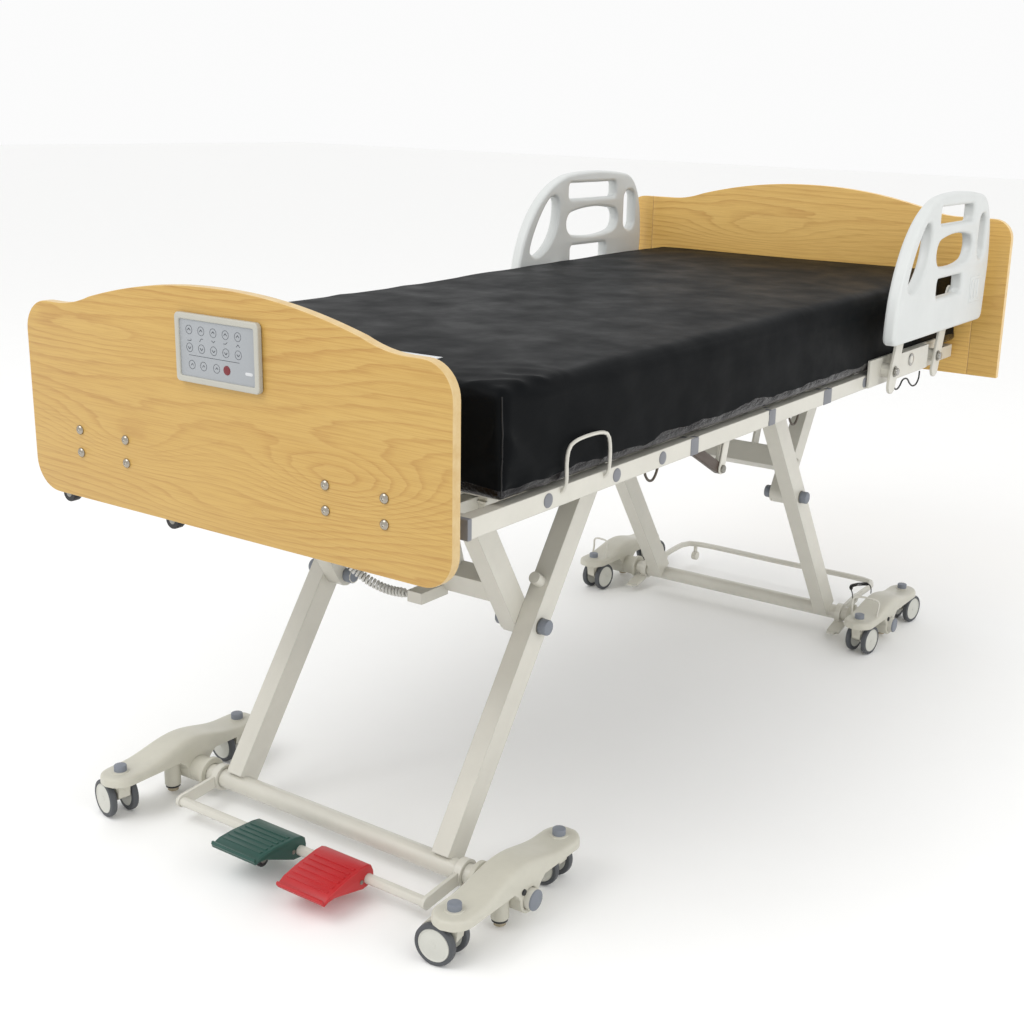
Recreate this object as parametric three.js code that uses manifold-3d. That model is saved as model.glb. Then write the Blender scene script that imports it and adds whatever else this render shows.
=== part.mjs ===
// Adjustable hospital bed on two scissor lifts, with eight swivel casters.
// Millimetres, +Z up, +Y towards the head end, +X to the right seen from the foot end.
import * as THREE from 'three';
import { mergeVertices } from 'three/addons/utils/BufferGeometryUtils.js';
import Module from 'manifold-3d';

const wasm = await Module();
wasm.setup();

// ---------- driving dimensions ----------
const GAP = 0.3; // clearance between pieces that touch
const ROUND = 10; // segments of a common round bar
const FINE = 16; // segments of a large round

// End boards
const BOARD = 19;
const FOOT_FACE = -1095;
const FOOT_BACK = FOOT_FACE + BOARD;
const HEAD_BACK = 1101;
const HEAD_FACE = HEAD_BACK - BOARD;
const FOOT_HALF = 469;
const HEAD_HALF = 573;
const SEAM_X = 493;

// Deck
const DECK_X = 454; // outer face of the side rails
const DECK_TOP = 771;
const RAIL_W = 25;
const RAIL_H = 32;
const RAIL_BOTTOM = DECK_TOP - RAIL_H;
const HINGE_Z = DECK_TOP - RAIL_H / 2;
const CALF_END = -1033;
const CALF_HINGE = -355;
const THIGH_HINGE = -27;
const BACK_HINGE = 250;
const BACK_END = 1060;
const NARROW_JOINT = 16; // half the rail gap at the calf and thigh hinges
const WIDE_JOINT = 22; // half the rail gap at the back hinge
const SLAT_W = 25;
const SLAT_TOP = 768;
const SLAT_BOTTOM = 742;

// Mattress
const MATTRESS_X = 457;
const MATTRESS_FOOT = -960;
const MATTRESS_HEAD = 1072;
const MATTRESS_BOTTOM = 776;
const MATTRESS_TOP = 954;
const MATTRESS_ROUND = 32;

// Lifts: s is the distance from the base tube towards the near end of the bed
const TUBE_Z = 50;
const TUBE_R = 19;
const TUBE_END = 456;
const LEG_ANGLE = THREE.MathUtils.degToRad(55.5);
const BRACE_ANGLE = THREE.MathUtils.degToRad(59.4);
const MID_Z = 428; // pivot between leg and brace
const TRACK_Z = 704; // brace pivot and leg roller, both on the deck frame
const MID_S = -(MID_Z - TUBE_Z) / Math.tan(LEG_ANGLE);
const HINGE_S = MID_S + (TRACK_Z - MID_Z) / Math.tan(BRACE_ANGLE);
const ROLLER_S = MID_S - (TRACK_Z - MID_Z) / Math.tan(LEG_ANGLE);
const LEG_IN = 239;
const LEG_OUT = 277;
const LEG_HALF = 25;
const BRACE_IN = 201;
const BRACE_OUT = LEG_IN - GAP;
const BRACE_HALF = 24;
const PIN_R = 9;
const BEAM_UP = 88; // beam position above the mid pivot, along the brace
const TRACK_IN = 280;
const TRACK_OUT = 318;
const TRACK_WALL = 4;
const TRACK_HALF = 20;
const ENDS = {
  foot: { tube: -846, out: -1, podShift: -11, actuatorX: 100 },
  head: { tube: 813, out: 1, podShift: 20, actuatorX: 140 },
};

// Pods and casters
const POD_X = 409;
const POD_HALF = 38;
const CASTER_T = 151; // caster stem to pod centre
const POD_BOTTOM = 78;
const POD_END_TOP = 96;
const POD_CROWN = 21;
const POD_SLOPE = 128;
const HUB_R = 26;
const PLUNGER_S = 37;
const PLUNGER_R = 11;
const WHEEL_R = 37.5;
const WHEEL_T = 14;
const WHEEL_OUT = 29; // outer face of a wheel from the caster's middle
const TRAIL = 23;

// Pedal bar and brake bar
const ARM_X = 304;
const BAR_S = 106;
const BAR_Z = 42;
const BAR_R = 9.5;
const BUMPER_S = 247;
const BUMPER_Z = 70;

// Lift actuators: pin on the brace beam, open pivot on the deck frame
const LUG_ALONG = 210; // pin above the mid pivot, along the brace
const LUG_OFF = -30; // pin off the brace line, negative on its upper side
const ANCHOR_REACH = 500; // open pivot from the brace hinge, towards the bed's middle
const ANCHOR_DROP = 0;

// Assist rails
const PANEL_IN = 504;
const PANEL_OUT = 535;
const ARM_IN = 487;
const ARM_OUT = 493;
const PIVOT_Z = 774;
const FRONT_PIVOT_Y = 545;
const REAR_PIVOT_Y = 837;
const SWING_Y = 49;
const SWING_Z = 150;

// ---------- colours ----------
const CREAM = { color: 0xe6e3d6, roughness: 0.45, metalness: 0.1 };
const OAK = { color: 0xdcb56c, roughness: 0.5, metalness: 0 };
const BLACK_COVER = { color: 0x26282b, roughness: 0.6, metalness: 0 };
const MOULDED = { color: 0xdfe1df, roughness: 0.4, metalness: 0 };
const GREY_PANEL = { color: 0xc9c9c2, roughness: 0.5, metalness: 0 };
const TYRE = { color: 0x4a4f57, roughness: 0.6, metalness: 0 };
const STEEL = { color: 0xc4c4c4, roughness: 0.3, metalness: 0.9 };
const GREEN = { color: 0x1e4a42, roughness: 0.5, metalness: 0 };
const RED = { color: 0xc02428, roughness: 0.5, metalness: 0 };
const BEIGE = { color: 0xb9ad92, roughness: 0.6, metalness: 0 };
const WHITE_CABLE = { color: 0xe4e4de, roughness: 0.5, metalness: 0 };
const BLACK_CORD = { color: 0x151515, roughness: 0.6, metalness: 0 };

// ---------- solids ----------
function solid(geometry) {
  const bare = new THREE.BufferGeometry();
  bare.setAttribute('position', geometry.getAttribute('position'));
  if (geometry.index) bare.setIndex(geometry.index);
  const merged = mergeVertices(bare, 1e-3);
  return new wasm.Manifold(new wasm.Mesh({
    numProp: 3,
    vertProperties: new Float32Array(merged.getAttribute('position').array),
    triVerts: new Uint32Array(merged.index.array),
  }));
}

function join(parts) {
  return parts.reduce((sum, part) => sum.add(part));
}

function cut(body, tools) {
  return tools.reduce((rest, tool) => rest.subtract(tool), body);
}

function piece(name, manifold, look) {
  const { vertProperties, triVerts } = manifold.getMesh();
  const geometry = new THREE.BufferGeometry();
  geometry.setAttribute('position', new THREE.BufferAttribute(vertProperties, 3));
  geometry.setIndex(new THREE.BufferAttribute(triVerts, 1));
  geometry.computeVertexNormals();
  const mesh = new THREE.Mesh(geometry, new THREE.MeshStandardMaterial(look));
  mesh.name = name;
  return mesh;
}

// The range a..b on the right side (side 1) or mirrored to the left (side -1)
function span(side, a, b) {
  return side > 0 ? [a, b] : [-b, -a];
}

function box([x0, x1], [y0, y1], [z0, z1]) {
  const geometry = new THREE.BoxGeometry(x1 - x0, y1 - y0, z1 - z0);
  geometry.translate((x0 + x1) / 2, (y0 + y1) / 2, (z0 + z1) / 2);
  return solid(geometry);
}

function rodX(r, [x0, x1], y, z, segments = ROUND) {
  const geometry = new THREE.CylinderGeometry(r, r, x1 - x0, segments);
  geometry.rotateZ(Math.PI / 2);
  geometry.translate((x0 + x1) / 2, y, z);
  return solid(geometry);
}

function rodY(r, x, [y0, y1], z, segments = ROUND) {
  const geometry = new THREE.CylinderGeometry(r, r, y1 - y0, segments);
  geometry.translate(x, (y0 + y1) / 2, z);
  return solid(geometry);
}

function rodZ(r, x, y, [z0, z1], segments = ROUND, rTop = r) {
  const geometry = new THREE.CylinderGeometry(rTop, r, z1 - z0, segments);
  geometry.rotateX(Math.PI / 2);
  geometry.translate(x, y, (z0 + z1) / 2);
  return solid(geometry);
}

// A round rod in the plane x, from (y0, z0) to (y1, z1)
function rodYZ(r, x, [y0, z0], [y1, z1], segments = ROUND) {
  const length = Math.hypot(y1 - y0, z1 - z0);
  const geometry = new THREE.CylinderGeometry(r, r, length, segments);
  geometry.rotateX(Math.atan2(z1 - z0, y1 - y0));
  geometry.translate(x, (y0 + y1) / 2, (z0 + z1) / 2);
  return solid(geometry);
}

const ALONG_X = new THREE.Matrix4().makeBasis(
  new THREE.Vector3(0, 1, 0), new THREE.Vector3(0, 0, 1), new THREE.Vector3(1, 0, 0));
const ALONG_Y = new THREE.Matrix4().makeBasis(
  new THREE.Vector3(1, 0, 0), new THREE.Vector3(0, 0, 1), new THREE.Vector3(0, -1, 0));

function extrude(shape, depth, curveSegments) {
  return new THREE.ExtrudeGeometry(shape, { depth, bevelEnabled: false, curveSegments });
}

// A (y, z) outline pushed along X
function slabX(shape, [x0, x1], curveSegments = 3) {
  const geometry = extrude(shape, x1 - x0, curveSegments);
  geometry.applyMatrix4(ALONG_X);
  geometry.translate(x0, 0, 0);
  return solid(geometry);
}

// An (x, z) outline pushed along Y
function slabY(shape, [y0, y1], curveSegments = 3) {
  const geometry = extrude(shape, y1 - y0, curveSegments);
  geometry.applyMatrix4(ALONG_Y);
  geometry.translate(0, y1, 0);
  return solid(geometry);
}

// An (x, y) outline pushed along Z
function slabZ(shape, [z0, z1], curveSegments = 6) {
  const geometry = extrude(shape, z1 - z0, curveSegments);
  geometry.translate(0, 0, z0);
  return solid(geometry);
}

function polygon(points) {
  return new THREE.Shape(points.map(([u, v]) => new THREE.Vector2(u, v)));
}

function roundedRect([u0, u1], [v0, v1], r) {
  const shape = new THREE.Shape();
  shape.moveTo(u0 + r, v0);
  shape.lineTo(u1 - r, v0);
  shape.absarc(u1 - r, v0 + r, r, -Math.PI / 2, 0, false);
  shape.lineTo(u1, v1 - r);
  shape.absarc(u1 - r, v1 - r, r, 0, Math.PI / 2, false);
  shape.lineTo(u0 + r, v1);
  shape.absarc(u0 + r, v1 - r, r, Math.PI / 2, Math.PI, false);
  shape.lineTo(u0, v0 + r);
  shape.absarc(u0 + r, v0 + r, r, Math.PI, Math.PI * 1.5, false);
  return shape;
}

// A bar outline from (u0, v0) to (u1, v1); each end is round or cut square
function bar([u0, v0], [u1, v1], half, roundStart = true, roundEnd = true) {
  const angle = Math.atan2(v1 - v0, u1 - u0);
  const nu = -Math.sin(angle) * half;
  const nv = Math.cos(angle) * half;
  const shape = new THREE.Shape();
  shape.moveTo(u0 - nu, v0 - nv);
  shape.lineTo(u1 - nu, v1 - nv);
  if (roundEnd) shape.absarc(u1, v1, half, angle - Math.PI / 2, angle + Math.PI / 2, false);
  else shape.lineTo(u1 + nu, v1 + nv);
  shape.lineTo(u0 + nu, v0 + nv);
  if (roundStart) shape.absarc(u0, v0, half, angle + Math.PI / 2, angle + Math.PI * 1.5, false);
  return shape;
}

// A round wire or tube through the points, with straight stretches between close pairs
function wire(points, r, steps, segments = 8) {
  const path = new THREE.CatmullRomCurve3(
    points.map(([x, y, z]) => new THREE.Vector3(x, y, z)), false, 'centripetal');
  const ring = new THREE.Shape();
  ring.absarc(0, 0, r, 0, Math.PI * 2, false);
  const geometry = new THREE.ExtrudeGeometry(ring, {
    steps, curveSegments: segments, bevelEnabled: false, extrudePath: path });
  return solid(geometry);
}

// ---------- end boards ----------
// Half of the arched top: shoulder, short concave sweep, then a crest on the centre line
function archedOutline(half, bottom, lowRound, shoulder, cornerRound, sweepFrom, sweepTo, crest) {
  const shape = new THREE.Shape();
  const rise = shoulder + (crest - shoulder) * 0.3;
  shape.moveTo(-half + lowRound, bottom);
  shape.lineTo(half - lowRound, bottom);
  if (lowRound > 0) shape.absarc(half - lowRound, bottom + lowRound, lowRound, -Math.PI / 2, 0, false);
  shape.lineTo(half, shoulder - cornerRound);
  if (cornerRound > 0) {
    shape.absarc(half - cornerRound, shoulder - cornerRound, cornerRound, 0, Math.PI / 2, false);
  }
  shape.lineTo(sweepFrom, shoulder);
  shape.quadraticCurveTo(sweepFrom - (sweepFrom - sweepTo) * 0.5, shoulder, sweepTo, rise);
  shape.bezierCurveTo(sweepTo * 0.6, crest - 8, sweepTo * 0.3, crest, 0, crest);
  shape.bezierCurveTo(-sweepTo * 0.3, crest, -sweepTo * 0.6, crest - 8, -sweepTo, rise);
  shape.quadraticCurveTo(-sweepFrom + (sweepFrom - sweepTo) * 0.5, shoulder, -sweepFrom, shoulder);
  shape.lineTo(-half + cornerRound, shoulder);
  if (cornerRound > 0) {
    shape.absarc(-half + cornerRound, shoulder - cornerRound, cornerRound, Math.PI / 2, Math.PI, false);
  }
  shape.lineTo(-half, bottom + lowRound);
  if (lowRound > 0) shape.absarc(-half + lowRound, bottom + lowRound, lowRound, Math.PI, Math.PI * 1.5, false);
  return shape;
}

const FOOT_BOTTOM = 674;
const HEAD_BOTTOM = 691;
const HEAD_SHOULDER = 1101;
const BOLT_XS = [-343, -226, 226, 343];
const BOLT_ZS = [756, 796];
const BOLT_R = 4;
const BOLT_HEAD_R = 7.5;
const BOLT_HEAD = 4;

function boltHoles(range) {
  return BOLT_XS.flatMap((x) => BOLT_ZS.map((z) => rodY(BOLT_R + GAP * 2, x, range, z, 6)));
}

function footboard() {
  const outline = archedOutline(FOOT_HALF, FOOT_BOTTOM, 55, 1011, 55, 388, 300, 1070);
  const board = slabY(outline, [FOOT_FACE, FOOT_BACK], 6);
  return cut(board, boltHoles([FOOT_FACE - 1, FOOT_BACK + 1]));
}

function headboardCentre() {
  const outline = archedOutline(SEAM_X, HEAD_BOTTOM, 0, HEAD_SHOULDER, 0, 430, 330, 1160);
  const board = slabY(outline, [HEAD_FACE, HEAD_BACK], 6);
  return cut(board, boltHoles([HEAD_FACE - 1, HEAD_BACK + 1]));
}

// A wing board with two flat straps that slide behind the centre board
function headboardWing(side) {
  const inner = SEAM_X + 0.6;
  const corner = 50;
  const shape = new THREE.Shape();
  shape.moveTo(side * inner, HEAD_BOTTOM);
  shape.lineTo(side * HEAD_HALF, HEAD_BOTTOM);
  shape.lineTo(side * HEAD_HALF, HEAD_SHOULDER - corner);
  if (side > 0) shape.absarc(HEAD_HALF - corner, HEAD_SHOULDER - corner, corner, 0, Math.PI / 2, false);
  else shape.absarc(-HEAD_HALF + corner, HEAD_SHOULDER - corner, corner, Math.PI, Math.PI / 2, true);
  shape.lineTo(side * inner, HEAD_SHOULDER);
  const straps = [760, 985].map((z) => box(
    span(side, 380, HEAD_HALF - 8), [HEAD_BACK + GAP, HEAD_BACK + BOLT_HEAD], [z, z + 30]));
  const feet = [760, 985].map((z) => box(
    span(side, inner + 6, HEAD_HALF - 8), [HEAD_BACK - 1, HEAD_BACK + 1], [z, z + 30]));
  return join([slabY(shape, [HEAD_FACE, HEAD_BACK], 4), ...straps, ...feet]);
}

function controlPanel() {
  const frame = slabY(roundedRect([-81, 103], [918, 1028], 8), [FOOT_FACE - 10, FOOT_FACE - GAP], 2);
  const recess = slabY(roundedRect([-74, 96], [925, 1021], 4), [FOOT_FACE - 11, FOOT_FACE - 8.5], 1);
  return frame.subtract(recess);
}

// ---------- deck ----------
function rails(y0, y1) {
  return [-1, 1].map((side) => box(
    span(side, DECK_X - RAIL_W, DECK_X), [y0, y1], [RAIL_BOTTOM, DECK_TOP]));
}

function slat(y) {
  return box([-DECK_X + 5, DECK_X - 5], [y - SLAT_W / 2, y + SLAT_W / 2], [SLAT_BOTTOM, SLAT_TOP]);
}

// Rail hinge tongue with its round end on the hinge axis; outer and inner tongues lie side by side
function tongue(hingeY, towards, reach, outer) {
  const half = RAIL_H / 2;
  const middle = DECK_X - RAIL_W / 2;
  const [a, b] = outer ? [middle + GAP / 2, DECK_X] : [DECK_X - RAIL_W, middle - GAP / 2];
  const outline = bar([hingeY, HINGE_Z], [hingeY + towards * (reach + 2), HINGE_Z], half, true, false);
  return [-1, 1].map((side) => slabX(outline, span(side, a, b), 4));
}

function hook(y) {
  return [-1, 1].map((side) => {
    const x = side * (DECK_X - 8);
    return wire([[x, y - 24, RAIL_BOTTOM + 3], [x, y - 20, RAIL_BOTTOM - 8], [x, y - 8, RAIL_BOTTOM - 20],
      [x, y + 6, RAIL_BOTTOM - 22], [x, y + 18, RAIL_BOTTOM - 12], [x, y + 24, RAIL_BOTTOM + 3]], 2, 9, 2);
  });
}

function retainer(side) {
  const x = side * 463;
  const low = side * (DECK_X - 4);
  const [y0, y1] = [-796, -668];
  const top = 842;
  return wire([[low, y0, 758], [side * 460, y0, 767], [x, y0, 780], [x, y0, top - 25], [x, y0 + 7, top - 7],
    [x, y0 + 25, top], [x, y1 - 25, top], [x, y1 - 7, top - 7], [x, y1, top - 25], [x, y1, 780],
    [side * 460, y1, 767], [low, y1, 758]], 3.3, 26, 3);
}

function calfSection() {
  return join([
    ...rails(CALF_END, CALF_HINGE - NARROW_JOINT),
    ...tongue(CALF_HINGE, -1, NARROW_JOINT, true),
    ...[CALF_END + SLAT_W / 2, -833, -628, -473].map(slat),
    ...hook(-498),
    retainer(-1), retainer(1),
  ]);
}

// The lever bar below the thigh rail, tied back to the rail by an upright link
function kneeLever(side) {
  const [x0, x1] = span(side, DECK_X - 20, DECK_X - 12);
  const foot = [-224, 684];
  return [
    slabX(bar([CALF_HINGE + 24, RAIL_BOTTOM + 4], foot, 9), [x0, x1]),
    slabX(bar([-208, RAIL_BOTTOM + 4], foot, 10), [x0, x1]),
    rodX(7, span(side, DECK_X - 24, DECK_X - 8), foot[0], foot[1], 12),
  ];
}

function thighSection() {
  return join([
    ...rails(CALF_HINGE + NARROW_JOINT, THIGH_HINGE - NARROW_JOINT),
    ...tongue(CALF_HINGE, 1, NARROW_JOINT, false),
    ...tongue(THIGH_HINGE, -1, NARROW_JOINT, false),
    ...[CALF_HINGE + 60, THIGH_HINGE - 60].map(slat),
    ...kneeLever(-1), ...kneeLever(1),
  ]);
}

function backSection() {
  return join([
    ...rails(BACK_HINGE + WIDE_JOINT, BACK_END),
    ...tongue(BACK_HINGE, 1, WIDE_JOINT, false),
    ...[BACK_HINGE + 55, 461, 650, 850, BACK_END - SLAT_W / 2].map(slat),
  ]);
}

function track(side) {
  const y0 = ENDS.foot.tube - HINGE_S - 66;
  const y1 = ENDS.head.tube + HINGE_S + 66;
  const web = box(span(side, TRACK_OUT - TRACK_WALL, TRACK_OUT), [y0, y1],
    [TRACK_Z - TRACK_HALF, TRACK_Z + TRACK_HALF]);
  const flange = (z) => box(span(side, TRACK_IN, TRACK_OUT), [y0, y1], [z, z + TRACK_WALL]);
  return [web, flange(TRACK_Z - TRACK_HALF), flange(TRACK_Z + TRACK_HALF - TRACK_WALL)];
}

// Cross tube, brace ears with pins, and the carrier of one end board
function deckEnd(end, board) {
  const y = (s) => end.tube + end.out * s;
  const near = Math.min(y(HINGE_S + 31), y(HINGE_S + 61));
  const cross = box([-TRACK_OUT, TRACK_OUT], [near, near + 30], [TRACK_Z - TRACK_HALF, TRACK_Z + 26]);
  const parts = [cross];
  for (const side of [-1, 1]) {
    const ear = bar([y(HINGE_S), TRACK_Z], [y(HINGE_S + 40), TRACK_Z], 18);
    parts.push(slabX(ear, span(side, BRACE_OUT + 3, BRACE_OUT + 9)));
    parts.push(rodX(PIN_R, span(side, BRACE_IN + 4, BRACE_OUT + 6), y(HINGE_S), TRACK_Z));
    const [a, b] = [y(HINGE_S + 40), board - end.out * 3].sort((p, q) => p - q);
    parts.push(box(span(side, 270, 300), [a, b], [TRACK_Z - 4, TRACK_Z + 26]));
    const [p0, p1] = [board - end.out * 6, board - end.out * GAP].sort((p, q) => p - q);
    parts.push(box(span(side, 214, 356), [p0, p1], [690, 812]));
  }
  for (const x of BOLT_XS) {
    for (const z of BOLT_ZS) parts.push(bolt(x, z, end.out, board));
  }
  return parts;
}

// A dome-head bolt through an end board, its head on the outer face
function bolt(x, z, out, board) {
  const outer = board + out * BOARD;
  const shank = [board - out * 3, outer + out * (GAP + 1)].sort((p, q) => p - q);
  const profile = [[0, 0], [BOLT_HEAD_R, 0], [5, BOLT_HEAD - GAP], [0, BOLT_HEAD - GAP]];
  const head = new THREE.LatheGeometry(profile.map(([r, h]) => new THREE.Vector2(r, h)), 8);
  if (out < 0) head.rotateX(Math.PI);
  head.translate(x, outer + out * GAP, z);
  return join([rodY(BOLT_R, x, shank, z, 6), solid(head)]);
}

// Ears of the open actuator pivot, on the middle cross tube
function actuatorEars(end) {
  const hingeY = end.tube + end.out * HINGE_S;
  const pivot = [hingeY - end.out * ANCHOR_REACH, TRACK_Z - ANCHOR_DROP];
  const root = [-15, TRACK_Z - 2];
  return [-1, 1].map((side) => slabX(bar(pivot, root, 20),
    [end.actuatorX + side * 14 - 3, end.actuatorX + side * 14 + 3]));
}

function footRollers() {
  return [-420, -150].flatMap((x) => [
    rodY(14, x, [FOOT_BACK + 6, FOOT_BACK + 22], 664, 16),
    box([x - 5, x + 5], [FOOT_BACK + 16, FOOT_BACK + 30], [660, TRACK_Z + 10]),
  ]);
}

function deckFrame() {
  const rollerCarrier = box([-424, -270], [FOOT_BACK + 18, FOOT_BACK + 30], [TRACK_Z - 4, TRACK_Z + 12]);
  const innerCarrier = box([-290, -145], [FOOT_BACK + 18, FOOT_BACK + 30], [TRACK_Z - 4, TRACK_Z + 12]);
  const posts = [];
  for (const side of [-1, 1]) {
    for (const y of [40, 190]) {
      posts.push(box(span(side, 292, TRACK_OUT), [y - 12, y + 12], [TRACK_Z + 18, SLAT_TOP - 2]));
    }
    for (const y of [-628, 650]) {
      posts.push(box(span(side, 296, TRACK_OUT), [y - 10, y + 10], [TRACK_Z + 18, SLAT_BOTTOM - GAP]));
    }
  }
  return join([
    ...track(-1), ...track(1),
    box([-TRACK_OUT, TRACK_OUT], [-30, 0], [TRACK_Z - TRACK_HALF, TRACK_Z + TRACK_HALF]),
    ...deckEnd(ENDS.foot, FOOT_BACK), ...deckEnd(ENDS.head, HEAD_FACE),
    ...actuatorEars(ENDS.foot), ...actuatorEars(ENDS.head),
    ...rails(THIGH_HINGE + NARROW_JOINT, BACK_HINGE - WIDE_JOINT),
    ...tongue(THIGH_HINGE, 1, NARROW_JOINT, true), ...tongue(BACK_HINGE, -1, WIDE_JOINT, true),
    slat(40), slat(190), ...hook(97), ...posts,
    ...footRollers(), rollerCarrier, innerCarrier,
  ]);
}

// ---------- mattress ----------
// One length of mattress, from one deck hinge to the next
function mattress(y0, y1) {
  const section = roundedRect([-MATTRESS_X, MATTRESS_X], [MATTRESS_BOTTOM, MATTRESS_TOP], MATTRESS_ROUND);
  return slabY(section, [y0, y1], 4);
}

// ---------- lifts ----------
function legFrame(end) {
  const y = (s) => end.tube + end.out * s;
  const mid = [y(MID_S), MID_Z];
  const top = [y(ROLLER_S), TRACK_Z];
  const up = [-end.out * Math.cos(LEG_ANGLE), Math.sin(LEG_ANGLE)];
  const face = [end.out * Math.sin(LEG_ANGLE), Math.cos(LEG_ANGLE)];
  const at = (along, off) => [mid[0] + up[0] * along + face[0] * off, mid[1] + up[1] * along + face[1] * off];
  const foot = [end.tube + up[0] * 13, TUBE_Z + up[1] * 13];
  const parts = [rodX(TUBE_R, [-TUBE_END, TUBE_END], end.tube, TUBE_Z, FINE)];
  for (const side of [-1, 1]) {
    parts.push(slabX(bar(foot, top, LEG_HALF, false, true), span(side, LEG_IN, LEG_OUT)));
    parts.push(rodX(12.5, span(side, LEG_OUT - 2, TRACK_OUT - TRACK_WALL - 6), top[0], top[1]));
    parts.push(rodX(PIN_R, span(side, BRACE_IN + 4, LEG_IN + 2), mid[0], mid[1]));
    parts.push(rodX(14, span(side, LEG_OUT - 2, LEG_OUT + 18), mid[0], mid[1]));
    parts.push(rodYZ(11.5, side * (LEG_IN + 19), at(76, LEG_HALF - 3), at(76, LEG_HALF + 24), 16));
  }
  return join(parts);
}

function braceFrame(end) {
  const y = (s) => end.tube + end.out * s;
  const hinge = [y(HINGE_S), TRACK_Z];
  const mid = [y(MID_S), MID_Z];
  const up = [end.out * Math.cos(BRACE_ANGLE), Math.sin(BRACE_ANGLE)];
  const beamLow = [mid[0] + up[0] * (BEAM_UP - 26), mid[1] + up[1] * (BEAM_UP - 26)];
  const beamHigh = [mid[0] + up[0] * (BEAM_UP + 26), mid[1] + up[1] * (BEAM_UP + 26)];
  const beamMid = [(beamLow[0] + beamHigh[0]) / 2, (beamLow[1] + beamHigh[1]) / 2];
  const parts = [slabX(bar(beamLow, beamHigh, 19, false, false), [-BRACE_IN - 2, BRACE_IN + 2])];
  for (const side of [-1, 1]) {
    const arm = slabX(bar(hinge, mid, BRACE_HALF), span(side, BRACE_IN, BRACE_OUT));
    const bores = [hinge, mid].map(([py, pz]) => rodX(
      PIN_R + 0.5, span(side, BRACE_IN + 3, BRACE_OUT + 1), py, pz));
    parts.push(cut(arm, bores));
    parts.push(rodX(15, span(side, BRACE_IN - 19, BRACE_IN + 1), mid[0], mid[1]));
    parts.push(slabX(bar(beamMid, lugPoint(end), 15),
      [end.actuatorX + side * 24 - 3, end.actuatorX + side * 24 + 3]));
  }
  if (end === ENDS.foot) parts.push(box([58, 92], [-706, -628], [462, 484]));
  return join(parts);
}

function lugPoint(end) {
  const up = [end.out * Math.cos(BRACE_ANGLE), Math.sin(BRACE_ANGLE)];
  const below = [end.out * Math.sin(BRACE_ANGLE), -Math.cos(BRACE_ANGLE)];
  return [end.tube + end.out * MID_S + up[0] * LUG_ALONG + below[0] * LUG_OFF,
    MID_Z + up[1] * LUG_ALONG + below[1] * LUG_OFF];
}

// Points along an actuator, from its pin on the brace towards the deck frame
function actuatorLine(end) {
  const [y0, z0] = lugPoint(end);
  const y1 = end.tube + end.out * HINGE_S - end.out * ANCHOR_REACH;
  const z1 = TRACK_Z - ANCHOR_DROP;
  const length = Math.hypot(y1 - y0, z1 - z0);
  const dir = [(y1 - y0) / length, (z1 - z0) / length];
  const down = [-end.out * dir[1] * -1, -Math.abs(dir[0])];
  const at = (along, off = 0) => [y0 + dir[0] * along + down[0] * off, z0 + dir[1] * along + down[1] * off];
  return { at, length };
}

const ROD_R = 9;
const CASE_END = 350;

function actuatorBody(end) {
  const { at } = actuatorLine(end);
  const x = end.actuatorX;
  const body = join([
    slabX(bar(at(0), at(40), 12), [x - 20, x + 20]),
    slabX(bar(at(30), at(92), 19, false, false), [x - 19, x + 19]),
    rodYZ(16, x, at(80), at(CASE_END), FINE),
    rodYZ(19, x, at(60, 8), at(60, 36), FINE),
  ]);
  return body.subtract(rodYZ(ROD_R + 0.9, x, at(112), at(CASE_END + 5), ROUND));
}

function actuatorRod(end) {
  const { at, length } = actuatorLine(end);
  const x = end.actuatorX;
  return join([
    rodYZ(ROD_R, x, at(CASE_END - 13), at(length - 4), ROUND),
    slabX(bar(at(length - 6), at(length), 12), [x - 8, x + 8]),
  ]);
}

// ---------- bases ----------
function podOutline(end) {
  const centre = end.tube + end.podShift;
  const reach = CASTER_T + POD_HALF + 2;
  const points = [[centre - reach, POD_BOTTOM], [centre + reach, POD_BOTTOM], [centre + reach, POD_END_TOP]];
  const steps = 10;
  for (let i = 0; i <= steps; i += 1) {
    const t = POD_SLOPE * (1 - (2 * i) / steps);
    points.push([centre + t, POD_END_TOP + POD_CROWN * 0.5 * (1 + Math.cos((Math.PI * t) / POD_SLOPE))]);
  }
  points.push([centre - reach, POD_END_TOP]);
  return polygon(points);
}

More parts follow.
